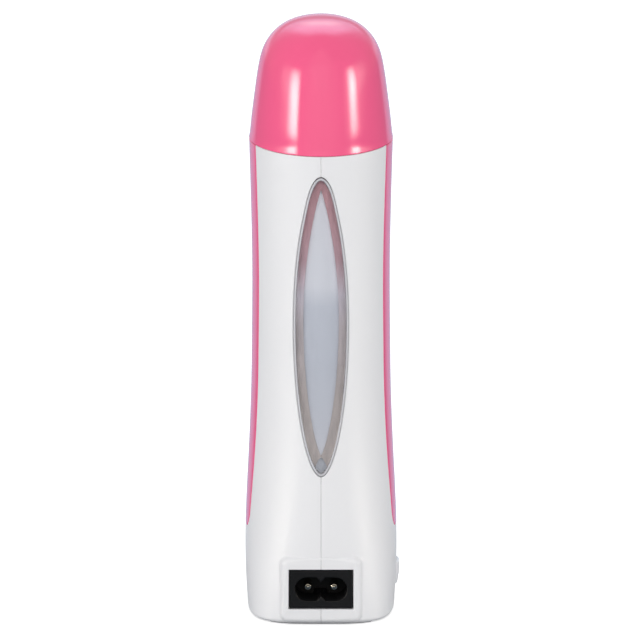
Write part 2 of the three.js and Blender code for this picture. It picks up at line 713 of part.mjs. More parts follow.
// Two-pin inlet
const inside_wall = housingForm(wall + clearance, base_underside + wall + clearance, shoulder);
const inlet_face = boss_face - inlet_recess;
const inlet_back = inlet_face - inlet_length;
const inlet_width = inlet_opening_width - 2 * clearance;
const inlet_height = inlet_opening_height - 2 * clearance;
const socket_radius = socket_height / 2;
const lobe_offset = socket_width / 2 - socket_radius;
const socket_floor = inlet_face - socket_depth;
const socketBar = (shape) => barTowardBack(shape, socket_floor, inlet_face + wall);
const socket = socketBar(circle(socket_height, -lobe_offset, inlet_centre_height))
  .add(socketBar(circle(socket_height, lobe_offset, inlet_centre_height)))
  .add(socketBar(rectangle(2 * lobe_offset, socket_waist, 0, 0, inlet_centre_height)));
const pinBar = (side, diameter, from, to) => barTowardBack(
  circle(diameter, (side * pin_pitch) / 2, inlet_centre_height, small_round_sides), from, to);
const [flange_width, flange_height] = grown([inlet_flange_width, inlet_flange_height], -2 * clearance);
const inlet_flange = barTowardBack(
  rectangle(flange_width, flange_height, 0, 0, inlet_centre_height), inlet_flange_back, inlet_flange_front)
  .intersect(inside_wall);
const inlet_body = barTowardBack(
  rectangle(inlet_width, inlet_height, 0, 0, inlet_centre_height), inlet_back, inlet_face)
  .add(inlet_flange)
  .subtract(socket)
  .subtract(pinBar(-1, pin_diameter + 2 * clearance, inlet_back - wall, inlet_face))
  .subtract(pinBar(1, pin_diameter + 2 * clearance, inlet_back - wall, inlet_face));
addPart('inlet_body', inlet_body, colors.black, 0.45);

const pin_tip = inlet_face - pin_tip_depth;
const pin_end = inlet_back - pin_tail;
for (const [side, name] of [[-1, 'inlet_pin_left'], [1, 'inlet_pin_right']]) {
  const tip_chamfer = pin_diameter / 4;
  const pin = pinBar(side, pin_diameter, pin_end, pin_tip - tip_chamfer)
    .add(pinBar(side, pin_diameter - 2 * tip_chamfer, pin_tip - pin_diameter, pin_tip))
    .add(block(tag_thickness, tag_length, tag_height,
      (side * pin_pitch) / 2, -pin_end + tag_length / 2 - tag_thickness, inlet_centre_height));
  addPart(name, pin, colors.nickel, 0.22, 1);
}

// Switch body with open front, rocker on two pivots, terminals
const rocker_inner = pivot_x - rocker_skirt;
const switch_box = block(switch_length, switch_width, switch_height,
  (switch_front + switch_back) / 2, 0, rocker_centre_height);
const switch_cavity = block(switch_length, opening_width, opening_height,
  (switch_front + switch_back) / 2 + switch_floor, 0, rocker_centre_height);
const pivotBar = (diameter, reach) => {
  const geometry = new THREE.CylinderGeometry(diameter / 2, diameter / 2, reach, small_round_sides);
  geometry.translate(pivot_x, 0, rocker_centre_height);
  return solid(geometry);
};
const pivot_reach = rocker_width + 2 * pivot_length;
const terminal_ups = [-terminal_spacing / 2, terminal_spacing / 2].map((up) => rocker_centre_height + up);
const terminal_reach = terminal_length + switch_floor + terminal_inside;
const terminalBlock = (up, grow) => block(terminal_reach, terminal_width + 2 * grow,
  terminal_thickness + 2 * grow, switch_back - terminal_length + terminal_reach / 2, 0, up);
const switch_body = switch_box.subtract(switch_cavity)
  .subtract(pivotBar(pivot_diameter + 2 * clearance, pivot_reach + 2 * clearance))
  .subtract(terminalBlock(terminal_ups[0], clearance)).subtract(terminalBlock(terminal_ups[1], clearance));
addPart('switch_body', switch_body.intersect(inside_wall), colors.black, 0.5);

addPart('switch_terminal_lower', terminalBlock(terminal_ups[0], 0), colors.brass, 0.3, 1);
addPart('switch_terminal_upper', terminalBlock(terminal_ups[1], 0), colors.brass, 0.3, 1);

// Rocker: the upper half of its face stands upright at rest, the lower half leans in by the tilt
const tilt = THREE.MathUtils.degToRad(rocker_tilt_deg);
const rocker_top = rocker_height / 2;
const lean = Math.tan(tilt) * rocker_top;
const rocker_outline = new THREE.Shape([
  [rocker_inner, -rocker_top + rocker_gap],
  [rocker_face - lean - rocker_proud, -rocker_top],
  [rocker_face - lean, -rocker_top + rocker_gap / 2],
  [rocker_face, 0],
  [rocker_face, rocker_top - rocker_gap / 2],
  [rocker_face - rocker_proud / 2, rocker_top],
  [rocker_inner, rocker_top - rocker_gap],
].map(([out, up]) => new THREE.Vector2(out, rocker_centre_height + up)));
const rocker = barTowardBack(rocker_outline, -rocker_width / 2, rocker_width / 2).add(
  pivotBar(pivot_diameter, pivot_reach));
addPart('switch_rocker', rocker, colors.white, 0.3);

// Pad that the heater stands on
addPart('base_pad', padForm(0), colors.rubber, 0.85);

// Wires from the inlet through the switch, fuse, heater and thermostat, and back to the inlet
function addWire(name, color, points) {
  const route = new THREE.CatmullRomCurve3(points.map((point) => new THREE.Vector3(...point)));
  const section = circle(wire_diameter, 0, 0, wire_sides);
  const settings = { steps: wire_steps, bevelEnabled: false, extrudePath: route };
  addPart(name, solid(new THREE.ExtrudeGeometry(section, settings)), color, 0.6);
}
const tag_end = -pin_end + tag_length - tag_thickness + clearance;
const terminal_end = switch_back - terminal_length - clearance;
const [low_terminal, high_terminal] = terminal_ups;
const pin_side = pin_pitch / 2;
const lead_height = heater_low + wire_diameter;
const fuse_end = fuse_length / 2 + fuse_lead_length + clearance;
const heater_end = heater_length / 2 + clearance;
const thermostat_end = thermostat_length / 2 + clearance;
const wire_loop = 3 * wire_diameter;
const past_boss = shell_screw_offset + shell_boss_diameter / 2 + wire_diameter;
const heater_side = pillar_diameter / 2 + wire_diameter;
addWire('wire_inlet_to_switch', colors.wire_brown, [
  [pin_side, tag_end, inlet_centre_height],
  [pin_side, tag_end + wire_diameter, inlet_centre_height],
  [terminal_end - wire_diameter, 0, low_terminal],
  [terminal_end, 0, low_terminal],
]);
addWire('wire_switch_to_fuse', colors.wire_brown, [
  [terminal_end, 0, high_terminal],
  [terminal_end - wire_diameter, 0, high_terminal],
  [0, wire_loop, (high_terminal + shell_screw_height) / 2],
  [-wire_loop, past_boss, shell_screw_height - wire_loop],
  [-side_part_offset + wire_diameter / 2, past_boss + wire_diameter, bridge_low - wire_diameter],
  [-side_part_offset, past_boss, fuse_centre],
  [-side_part_offset, fuse_end, fuse_centre],
]);
addWire('wire_fuse_to_heater', colors.wire_brown, [
  [-side_part_offset, -fuse_end, fuse_centre],
  [-side_part_offset, -fuse_end - wire_loop, lead_height],
  [-heater_side - wire_diameter, -heater_end - wire_loop, lead_height],
  [-heater_side, -heater_end - wire_diameter, lead_height],
  [-heater_side, -heater_end, lead_height],
]);
addWire('wire_heater_to_thermostat', colors.wire_blue, [
  [heater_side, heater_end, lead_height],
  [heater_side, heater_end + wire_diameter, lead_height],
  [heater_side + wire_diameter, heater_end + wire_loop, lead_height],
  [side_part_offset, thermostat_end + wire_loop, lead_height],
  [side_part_offset, thermostat_end, lead_height],
]);
addWire('wire_thermostat_to_inlet', colors.wire_blue, [
  [side_part_offset, -thermostat_end, lead_height],
  [side_part_offset, -past_boss, lead_height],
  [side_part_offset, -past_boss - wire_diameter, bridge_low - wire_diameter],
  [wire_loop, -past_boss, shell_screw_height - wire_loop],
  [0, -wire_loop, (high_terminal + shell_screw_height) / 2],
  [-pin_side + wire_diameter, wire_diameter, high_terminal],
  [-pin_side, tag_end + wire_diameter, inlet_centre_height],
  [-pin_side, tag_end, inlet_centre_height],
]);

export default group;
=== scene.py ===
"""Handheld roll-on wax heater, standing on its base and seen from its back. Sizes in this file are
millimetres until a mesh is made; +Z is up, the back faces -Y, and the origin is the centre of the base."""

import math

import bpy
import numpy as np
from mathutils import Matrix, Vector
from mathutils.geometry import delaunay_2d_cdt
from mathutils.kdtree import KDTree


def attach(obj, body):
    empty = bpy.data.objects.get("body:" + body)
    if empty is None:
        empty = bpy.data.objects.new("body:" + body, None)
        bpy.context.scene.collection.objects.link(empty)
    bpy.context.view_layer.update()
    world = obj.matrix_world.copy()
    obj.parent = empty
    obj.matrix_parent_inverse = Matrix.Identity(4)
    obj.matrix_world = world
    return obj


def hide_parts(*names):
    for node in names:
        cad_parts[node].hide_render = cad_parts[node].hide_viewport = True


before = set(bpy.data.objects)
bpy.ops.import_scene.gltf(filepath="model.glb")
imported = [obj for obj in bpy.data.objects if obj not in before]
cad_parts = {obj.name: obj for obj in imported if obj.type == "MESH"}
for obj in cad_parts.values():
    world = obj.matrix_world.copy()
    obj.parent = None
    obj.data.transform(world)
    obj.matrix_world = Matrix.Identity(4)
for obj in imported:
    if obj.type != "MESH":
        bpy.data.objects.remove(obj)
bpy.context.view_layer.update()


# Housing halves: white ABS, injection moulded in a left and a right half that meet on a seam in the middle of
# the back and the front. Each half is one skin of 2 mm with its openings moulded in; the ribs and screw
# bosses of the real halves are not drawn.
body_top = 155.95
body_outline = [(23.9, 0), (24.57, 9.36), (24.77, 29.33), (23.87, 49.61), (22.9, 75.5), (22.68, 93.6),
                (22.6, 112.32), (23.0, 136.19), (23.56, 156)]
base_underside = 0.35
base_edge = 1.5
shell_wall = 2.0
seam_half_gap = 0.035
depth_ratio = 1.43
half_girth = 96.0


def smooth_curve(points, count):
    """A cubic spline through points, with its steps in proportion to the distance between them."""
    points = np.array(points, float)
    step = np.linalg.norm(np.diff(points, axis=0), axis=1)
    knots = np.concatenate([[0], np.cumsum(step)])
    last = len(points) - 1
    rows, right = np.eye(last + 1), np.zeros((last + 1, 2))
    for i in range(1, last):
        rows[i, i - 1:i + 2] = step[i - 1], 2 * (step[i - 1] + step[i]), step[i]
        right[i] = 6 * ((points[i + 1] - points[i]) / step[i] - (points[i] - points[i - 1]) / step[i - 1])
    bend = np.linalg.solve(rows, right)
    at = np.linspace(0, knots[-1], count)
    span = np.clip(np.searchsorted(knots, at, "right") - 1, 0, last - 1)
    long, past = step[span][:, None], (at - knots[span])[:, None]
    ahead = long - past
    return ((bend[span] * ahead ** 3 + bend[span + 1] * past ** 3) / (6 * long)
            + (points[span] / long - bend[span] * long / 6) * ahead
            + (points[span + 1] / long - bend[span + 1] * long / 6) * past)


outline_curve = smooth_curve(body_outline, 3000)
turn_steps = np.linspace(-math.pi / 2, math.pi / 2, 8001)
oval_runs = np.diff([np.cos(turn_steps), depth_ratio * np.sin(turn_steps)])
turn_share = np.concatenate([[0], np.cumsum(np.hypot(*oval_runs))])
turn_share /= turn_share[-1]


def half_width_at(height):
    return np.interp(height, outline_curve[:, 1], outline_curve[:, 0])


def power_at(height):
    """The section is a superellipse of this power: close to an ellipse, and squarer toward the base."""
    down = 1 - np.clip(height / body_outline[-1][1], 0, 1)
    return 2 * (0.98 + 0.95 * down ** 8)


def oval_point(turn, power):
    """A point of the section of unit half width, by its angle from the right flank toward the front."""
    across, along = np.cos(turn), np.sin(turn)
    reach = (np.abs(across) ** power + np.abs(along) ** power) ** (-1 / power)
    return reach * across, reach * along * depth_ratio


def seam_share(half_width):
    return np.interp(-np.arccos(seam_half_gap / half_width), turn_steps, turn_share)


def level(up):
    """Height and half width of the skin at a distance up its side. Below the side it turns round the edge of
    the base."""
    turn = np.clip((base_underside + base_edge - up) / base_edge, 0, math.pi / 2)
    height = np.where(turn > 0, base_underside + base_edge * (1 - np.sin(turn)), up)
    return height, half_width_at(height) - base_edge * (1 - np.cos(turn))


def level_of(height):
    low = np.clip((base_underside + base_edge - height) / base_edge, 0, 1)
    return np.where(low > 0, base_underside + base_edge - base_edge * np.arcsin(low), height)


def skin_point(along, up):
    """The housing's plain skin: along runs from the back seam round the right flank to the front seam."""
    height, half_width = level(up)
    start = seam_share(half_width)
    turn = np.interp(start + (1 - 2 * start) * along / half_girth, turn_share, turn_steps)
    x, y = oval_point(turn, power_at(height))
    return np.stack([half_width * x, half_width * y, height], -1)


def along_of(across, height, face):
    """Where a point of the back (across is x) or of the flank (across is y) lies along the skin."""
    half_width = level(level_of(height))[1]
    power = power_at(height)
    if face == "back":
        x = np.clip(across / half_width, 0, 1)
        turn = -np.arctan2((1 - x ** power) ** (1 / power), x)
    else:
        y = across / (half_width * depth_ratio)
        turn = np.arctan2(y, (1 - np.abs(y) ** power) ** (1 / power))
    start = seam_share(half_width)
    return (np.interp(turn, turn_steps, turn_share) - start) / (1 - 2 * start) * half_girth


def unit(rows):
    return rows / np.maximum(np.linalg.norm(rows, axis=-1, keepdims=True), 1e-12)


def slopes(surface, a, b, step):
    """Outward normal of a surface given by two coordinates."""
    da = surface(a + step, b) - surface(a - step, b)
    db = surface(a, b + step) - surface(a, b - step)
    return unit(np.cross(da, db))


def skin_normal(along, up):
    return slopes(skin_point, along, up, 0.15)


def rounded_box(width, height, radius, middle=(0, 0), steps=6):
    """Corner points of an upright rectangle with round corners."""
    radius = max(radius, 1e-3)
    points = []
    for side, end, start in ((1, -1, -90), (1, 1, 0), (-1, 1, 90), (-1, -1, 180)):
        centre = (middle[0] + side * (width / 2 - radius), middle[1] + end * (height / 2 - radius))
        for i in range(steps + 1):
            turn = math.radians(start + 90 * i / steps)
            points.append((centre[0] + radius * math.cos(turn), centre[1] + radius * math.sin(turn)))
    return np.array(points)


def leaf(width, low, high, top_fullness, bottom_fullness, top_round=0.0, steps=60):
    """A leaf, the outline of the window and of what lies behind it; top_round blunts its upper end."""
    along = -np.cos(np.linspace(0, math.pi, steps + 1))
    near_top = np.clip((along - 0.7) / 0.3, 0, 1)
    blunt = top_round * near_top ** 2 * (3 - 2 * near_top)
    half = width / 2 * (1 - along ** 2).clip(0) ** np.where(along > 0, top_fullness - blunt, bottom_fullness)
    half[[0, -1]] = 0
    up = (low + high + along * (high - low)) / 2
    right = np.stack([half, up], -1)
    left = np.stack([-half[1:-1], up[1:-1]], -1)[::-1]
    return np.concatenate([right, left])


def grown(outline, by):
    """A convex outline moved out by a distance."""
    before, after = np.roll(outline, 1, axis=0), np.roll(outline, -1, axis=0)
    run = unit(after - before)
    return outline + by * np.stack([run[:, 1], -run[:, 0]], -1)


def evenly(outline, spacing, closed=True):
    """The same outline with no stretch longer than a spacing."""
    ends = np.roll(outline, -1, axis=0) if closed else outline[1:]
    points = []
    for a, b in zip(outline, ends):
        parts = max(1, math.ceil(np.linalg.norm(b - a) / spacing))
        points += [a + (b - a) * i / parts for i in range(parts)]
    return np.array(points if closed else points + [outline[-1]])


def outside(points, outline):
    """Signed distance of points from a closed outline: below zero inside it."""
    points = np.asarray(points, float)
    near, inside = np.full(len(points), 1e9), np.zeros(len(points), bool)
    for a, b in zip(outline, np.roll(outline, -1, axis=0)):
        run, from_a = b - a, points - a
        share = np.clip(from_a @ run / max(run @ run, 1e-12), 0, 1)
        near = np.minimum(near, np.linalg.norm(from_a - share[:, None] * run, axis=1))
        if a[1] != b[1]:
            crosses = (a[1] > points[:, 1]) != (b[1] > points[:, 1])
            inside ^= crosses & (points[:, 0] < a[0] + (points[:, 1] - a[1]) * run[0] / run[1])
    return np.where(inside, -near, near)


def rounding(distance, radius):
    """How far a round edge has dropped at a distance inside the edge."""
    reach = np.clip(radius - distance, 0, radius)
    return radius - np.sqrt(np.maximum(radius ** 2 - reach ** 2, 0))


def fill(lines, points, keep):
    """Triangles between lines and loose points of a flat drawing; keep says which of them stay."""
    corners, edges = [], []
    for line, closed in lines:
        first = len(corners)
        corners += [tuple(p) for p in line]
        edges += [(first + i, first + i + 1) for i in range(len(line) - 1)]
        if closed:
            edges.append((len(corners) - 1, first))
    tree = KDTree(len(corners))
    for i, corner in enumerate(corners):
        tree.insert((*corner, 0), i)
    tree.balance()
    loose = [tuple(p) for p, room in points if tree.find((*p, 0))[2] > room]
    made, _, faces, *_ = delaunay_2d_cdt([Vector(p) for p in corners + loose], edges, [], 0, 1e-6)
    places = np.array([tuple(p) for p in made])
    faces = np.array([f for f in faces if len(f) == 3])
    a, b, c = (places[faces[:, i]] for i in range(3))
    area = (b[:, 0] - a[:, 0]) * (c[:, 1] - a[:, 1]) - (b[:, 1] - a[:, 1]) * (c[:, 0] - a[:, 0])
    faces = np.where((area > 0)[:, None], faces, faces[:, ::-1])
    stays = keep((a + b + c) / 3) & (np.abs(area) > 1e-9)
    return places, faces[stays]


def grid(low, high, spacing, keep_off):
    """Loose points of a staggered grid over a flat drawing."""
    points = []
    rows = np.arange(low[1] + spacing[1] / 2, high[1], spacing[1])
    for i, up in enumerate(rows):
        shift = spacing[0] / 2 * (1 + i % 2)
        points += [((across, up), keep_off) for across in np.arange(low[0] + shift, high[0], spacing[0])]
    return points


def corner_normals(surface, flat, places, faces):
    """Normals at the corners of each face, taken from the exact surface just inside the face."""
    middle = flat[faces].mean(1)
    solid = places[faces]
    plain = unit(np.cross(solid[:, 1] - solid[:, 0], solid[:, 2] - solid[:, 0]))
    normals = np.zeros((len(faces), 3, 3))
    for i in range(3):
        spot = flat[faces[:, i]] * 0.8 + middle * 0.2
        exact = slopes(surface, spot[:, 0], spot[:, 1], 0.01)
        same_way = (exact * plain).sum(1) > math.cos(math.radians(28))
        normals[:, i] = np.where(same_way[:, None], exact, plain)
    return normals


def closed_form(outer, inner, faces, normals):
    """A skin, its inner side and the rim between them, as one closed form."""
    used = np.unique(faces)
    fresh = np.full(len(outer), -1)
    fresh[used] = np.arange(len(used))
    outer, inner, faces = outer[used], inner[used], fresh[faces]
    _, first, same = np.unique(np.round(outer, 5), axis=0, return_index=True, return_inverse=True)
    outer, inner, faces = outer[first], inner[first], same.reshape(-1)[faces]
    sound = (faces[:, 0] != faces[:, 1]) & (faces[:, 1] != faces[:, 2]) & (faces[:, 2] != faces[:, 0])
    faces, normals = faces[sound], normals[sound]
    count = len(outer)
    edges = {}
    for a, b, c in faces.tolist():
        for edge in ((a, b), (b, c), (c, a)):
            edges[edge] = True
    rim = [(b, a, a + count, b + count) for a, b in edges if (b, a) not in edges]
    all_faces = faces.tolist() + (faces[:, ::-1] + count).tolist() + rim
    return np.concatenate([outer, inner]), all_faces, normals.reshape(-1, 3)


def linear(color):
    """An sRGB hex value as linear RGBA."""
    parts = [int(color[i:i + 2], 16) / 255 for i in (1, 3, 5)]
    return (*[c / 12.92 if c <= 0.04045 else ((c + 0.055) / 1.055) ** 2.4 for c in parts], 1)


def add_node(tree, kind, links=(), **settings):
    """Adds a node. A setting named after a socket is its value. Each link names what goes into a socket: a
    socket of another node, or a plain number."""
    node = tree.nodes.new(kind)
    for name, value in settings.items():
        if hasattr(node, name):
            setattr(node, name, value)
        else:
            node.inputs[name.replace("_", " ")].default_value = value
    for source, target in links:
        if isinstance(source, (int, float)):
            node.inputs[target].default_value = source
        else:
            tree.links.new(source, node.inputs[target])
    return node


def new_finish(name):
    """A material with its surface shader; returns the material, its tree and that shader."""
    finish = bpy.data.materials.new(name)
    finish.use_nodes = True
    tree = finish.node_tree
    return finish, tree, tree.nodes["Principled BSDF"]


def two_tones(tree, pattern, color, shade, shader):
    """A base colour that drifts with a pattern between a darker shade of it and the colour itself."""
    tones = add_node(tree, "ShaderNodeValToRGB", [(pattern.outputs["Fac"], "Fac")])
    dark, light = tones.color_ramp.elements
    dark.position, light.position = 0.3, 0.7
    dark.color = (*[c * (1 - shade) for c in linear(color)[:3]], 1)
    light.color = linear(color)
    tree.links.new(tones.outputs["Color"], shader.inputs["Base Color"])


def fine_surface(tree, pattern, shader, roughness, spread, strength, relief):
    """Gloss and height that follow a fine pattern; the relief is in millimetres."""
    gloss = add_node(tree, "ShaderNodeMapRange", [(pattern.outputs["Fac"], "Value")],
                     To_Min=roughness * (1 - spread), To_Max=roughness * (1 + spread))
    bump = add_node(tree, "ShaderNodeBump", [(pattern.outputs["Fac"], "Height")], Strength=strength,
                    Distance=relief * 0.001)
    tree.links.new(gloss.outputs["Result"], shader.inputs["Roughness"])
    tree.links.new(bump.outputs["Normal"], shader.inputs["Normal"])


def moulded_plastic(name, color, roughness, grain=0.5, relief=0.02, shade=0.03, spread=0.15, ior=1.54):
    """Injection-moulded plastic: an even colour that drifts a little with the wall, a fine tool texture in its
    gloss and a faint waviness from the way it shrank. Grain and relief are in millimetres."""
    finish, tree, shader = new_finish(name)
    place = add_node(tree, "ShaderNodeTexCoord").outputs["Object"]
    drift = add_node(tree, "ShaderNodeTexNoise", [(place, "Vector")], Scale=28.0, Detail=2.0)
    texture = add_node(tree, "ShaderNodeTexNoise", [(place, "Vector")], Scale=1000 / grain, Detail=3.0)
    two_tones(tree, drift, color, shade, shader)
    fine_surface(tree, texture, shader, roughness, spread, 0.35, relief)
    shader.inputs["IOR"].default_value = ior
    return finish


sharp_angle = math.radians(32)


def settle(name, mesh, body, stands_for):
    """Puts a mesh into the scene as a piece that rides on a body and stands for nodes of the frame."""
    piece = bpy.data.objects.new(name, mesh)
    bpy.context.scene.collection.objects.link(piece)
    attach(piece, body)
    if stands_for:
        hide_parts(*stands_for)


def make_piece(name, form, finishes, body, stands_for, face_finish=None, smooth=True):
    """A piece from a form: its points in millimetres, its faces and, where it has them, the normals at the
    corners of its first faces."""
    places, faces, *normals = form
    mesh = bpy.data.meshes.new(name)
    mesh.from_pydata((np.asarray(places) * 0.001).tolist(), [], faces)
    for finish in finishes:
        mesh.materials.append(finish)
    mesh.polygons.foreach_set("use_smooth", [smooth] * len(mesh.polygons))
    if face_finish is not None:
        mesh.polygons.foreach_set("material_index", face_finish)
    mesh.update()
    if normals:
        flat = np.zeros((len(mesh.polygons), 3))
        mesh.polygons.foreach_get("normal", flat.ravel())
        every = np.repeat(flat, [len(face) for face in faces], axis=0)
        every[:len(normals[0])] = normals[0]
        mesh.normals_split_custom_set(every.tolist())
    elif smooth:
        mesh.set_sharp_from_angle(angle=sharp_angle)
    settle(name, mesh, body, stands_for)


window_low, window_high, window_width = 49.5, 149.2, 18.6
window_fullness = 0.6, 0.53, 0.1
window_outline = leaf(window_width, window_low, window_high, *window_fullness)
boss_middle, boss_width, boss_height, boss_corner, boss_face = (0, 12.0), 26.5, 21.2, 2.3, 36.0
inlet_middle, inlet_width, inlet_height = (0, 12.3), 21.3, 13.3
panel_half, panel_low, panel_corner, panel_depth = 13.62, 27.65, 6.0, 1.8
rocker_middle, rocker_opening, rocker_corner = (0, 10.9), (11.6, 9.6), 0.8
seam_round, rim_round, window_round, inlet_round, opening_round = 0.16, 0.14, 0.3, 0.2, 0.35
boss_round, boss_foot_round = 2.2, 0.9
boss_wall_run, recess_wall_run = 0.06, 0.05


def panel_outline(inward):
    """The recess of a side panel, drawn far past the top of the housing."""
    far_up = 400
    return rounded_box(2 * (panel_half - inward), far_up - panel_low - inward, panel_corner - inward,
                       (0, (far_up + panel_low + inward) / 2), 12)


def panel_path(inward, top):
    """The same outline cut off at a height, from its left end round the bottom to its right end."""
    path = panel_outline(inward)
    path = path[path[:, 1] < 200]
    left, right = path[path[:, 0] < 0], path[path[:, 0] >= 0]
    return np.array([(left[0, 0], top), *left, *right, (right[-1, 0], top)])


def boss_outline(inward):
    return rounded_box(boss_width - 2 * inward, boss_height - 2 * inward, boss_corner - inward, boss_middle, 8)


inlet_outline = rounded_box(inlet_width, inlet_height, 0.15, inlet_middle, 2)
rocker_outline = rounded_box(*rocker_opening, rocker_corner, rocker_middle, 4)
far = 50.0


def near(flat, outline, chosen):
    """Signed distance from an outline for the chosen points, and far away for the rest."""
    low, high = outline.min(0) - 3, outline.max(0) + 3
    chosen = chosen & (flat > low).all(1) & (flat < high).all(1)
    distance = np.full(len(flat), far)
    if chosen.any():
        distance[chosen] = outside(flat[chosen], outline)
    return distance


def shell_surface(along, up, has_rocker, shape="outer"):
    """The moulded skin at a place on the housing: its edges rounded, its recesses sunk, its boss raised."""
    shape_in = np.shape(along)
    along, up = np.ravel(along).astype(float), np.ravel(up).astype(float)
    place, normal = skin_point(along, up), skin_normal(along, up)
    back_flat, flank_flat = place[:, [0, 2]], place[:, [1, 2]]
    back = place[:, 1] < 0
    to_panel = near(flank_flat, panel_outline(0), np.abs(place[:, 1]) < 18)
    if shape == "inner":
        sink = shell_wall + 1.6 * np.clip((1.0 - to_panel) / 0.1, 0, 1)
        return (place - normal * sink[:, None]).reshape(*shape_in, 3)
    to_seam = np.abs(place[:, 0]) - seam_half_gap
    sink = rounding(to_seam, seam_round) + rounding(body_top - place[:, 2], rim_round)
    sink += rounding(near(back_flat, window_outline, back), window_round)
    sink += np.where(to_panel > 0, rounding(to_panel, opening_round),
                     opening_round + (panel_depth - opening_round) * np.clip(-to_panel / recess_wall_run, 0, 1))
    if has_rocker:
        sink += rounding(near(flank_flat, rocker_outline, np.full(len(back), True)), opening_round)
    made = place - normal * sink[:, None]
    to_boss = near(back_flat, boss_outline(0), back & (place[:, 2] < 30))
    proud = np.maximum(boss_face + made[:, 1], 0.2)
    top_round, foot_round = np.minimum(boss_round, 0.75 * proud), np.minimum(boss_foot_round, 0.25 * proud)
    edges = rounding(to_seam, seam_round) + rounding(near(back_flat, inlet_outline, back), inlet_round)
    face = -(boss_face - rounding(-to_boss, top_round) - edges)
    wall_share = np.clip(to_boss / boss_wall_run, 0, 1)
    wall = -(boss_face - top_round) * (1 - wall_share) + (made[:, 1] - foot_round) * wall_share
    skirt = made[:, 1] - rounding(to_boss - boss_wall_run, foot_round)
    raised = np.where(to_boss <= 0, face, np.where(to_boss < boss_wall_run, wall, skirt))
    made[:, 1] = np.where(to_boss < 2, np.minimum(raised, made[:, 1]), made[:, 1])
    return made.reshape(*shape_in, 3)


def clip_lines(line, closed):
    """Parts of an outline that lie on the right of the seam, ending on it."""
    points = list(line) + ([line[0]] if closed else [])
    runs, run = [], []
    for a, b in zip(points, points[1:]):
        a_in, b_in = a[0] >= seam_half_gap, b[0] >= seam_half_gap
        if a_in and not run:
            run.append(a)
        if a_in != b_in:
            cut = a + (b - a) * (seam_half_gap - a[0]) / (b[0] - a[0])
            run.append(cut)
            if a_in:
                runs.append(run)
                run = []
        if b_in and (a_in or run):
            run.append(b)
    if run:
        runs.append(run)
    return [np.array(r) for r in runs if len(r) > 1]


def shell_form(has_rocker):
    """Outer skin, inner side and rims of the right half, with or without the rocker's opening."""
    low_up = float(level_of(np.array(base_underside)))
    box = np.array([(0, low_up), (half_girth, low_up), (half_girth, body_top), (0, body_top)], float)
    lines = [(evenly(box, 1.2), True)]
    for offset in (0.045, 0.1, 0.16, 0.6):
        for along in (offset, half_girth - offset):
            lines.append((evenly(np.array([(along, low_up), (along, body_top)]), 1.6, False), False))
    for drop in (0.04, 0.09, 0.14, 0.8):
        line = np.array([(0, body_top - drop), (half_girth, body_top - drop)])
        lines.append((evenly(line, 1.4, False), False))
    for i in range(1, 7):
        up = low_up + (base_underside + base_edge - low_up) * i / 6
        lines.append((evenly(np.array([(0, up), (half_girth, up)]), 1.4, False), False))

    def back_lines(outline, spacing):
        for run in clip_lines(evenly(outline, spacing), True):
            along = np.clip(along_of(run[:, 0], run[:, 1], "back"), 0, half_girth)
            lines.append((np.stack([along, level_of(run[:, 1])], -1), False))

    def flank_line(outline, spacing, closed=True):
        run = evenly(outline, spacing, closed)
        lines.append((np.stack([along_of(run[:, 0], run[:, 1], "flank"), level_of(run[:, 1])], -1), closed))

    for offset in (0, 0.08, 0.18, 0.3, 0.9):
        back_lines(grown(window_outline, offset), 1.0)
    for inward in (-0.95, -0.7, -0.45, -0.25, -0.12, -0.06, 0, 0.04, 0.12, 0.26, 0.45, 0.75, 1.1, 1.5, 1.9,
                   2.25):
        back_lines(boss_outline(inward), 0.8)
    for offset in (0, 0.05, 0.12, 0.2):
        back_lines(rounded_box(inlet_width + 2 * offset, inlet_height + 2 * offset, 0.15 + offset,
                               inlet_middle, 2), 0.8)
    for inward in (-1.1, -1.0, -0.35, -0.2, -0.1, -0.04, 0, 0.05, 0.6):
        flank_line(panel_path(inward, body_top - 1e-4), 1.0, False)
    if has_rocker:
        for offset in (0, 0.06, 0.14, 0.24, 0.35, 1.0):
            flank_line(rounded_box(rocker_opening[0] + 2 * offset, rocker_opening[1] + 2 * offset,
                                   rocker_corner + offset, rocker_middle, 4), 0.8)

    def keep(flat):
        place = skin_point(flat[:, 0], flat[:, 1])
        back = place[:, 1] < 0
        stays = (flat[:, 0] > 0) & (flat[:, 0] < half_girth) & (flat[:, 1] > low_up) & (flat[:, 1] < body_top)
        stays &= near(place[:, [0, 2]], window_outline, back) > 0
        stays &= near(place[:, [0, 2]], inlet_outline, back) > 0
        if has_rocker:
            stays &= near(place[:, [1, 2]], rocker_outline, np.abs(place[:, 1]) < 12) > 0
        return stays

    flat, faces = fill(lines, grid((0, low_up), (half_girth, body_top), (1.8, 2.4), 0.75), keep)

    def outer(along, up):
        return shell_surface(along, up, has_rocker)

    outside_points = outer(flat[:, 0], flat[:, 1])
    inside_points = shell_surface(flat[:, 0], flat[:, 1], has_rocker, "inner")
    normals = corner_normals(outer, flat, outside_points, faces)

    edge = evenly(box[:2], 1.2, False)
    rim = outer(edge[:, 0], np.full(len(edge), low_up))[:, :2]
    plate_flat, plate_faces = fill([(rim, True)], grid(rim.min(0), rim.max(0), (3, 3), 1.5),
                                   lambda middle: outside(middle, rim) < 0)
    plate_faces = plate_faces[:, ::-1]
    heights = np.full((len(plate_flat), 1), base_underside)
    plate_out = np.hstack([plate_flat, heights])
    plate_in = np.hstack([plate_flat, heights + shell_wall])
    down = np.tile([0, 0, -1.0], (len(plate_faces), 3, 1))
    count = len(flat)
    return closed_form(np.concatenate([outside_points, plate_out]), np.concatenate([inside_points, plate_in]),
                       np.concatenate([faces, plate_faces + count]), np.concatenate([normals, down]))


def flipped(faces):
    """The same faces turned to look the other way."""
    return [tuple(reversed(face)) for face in faces]


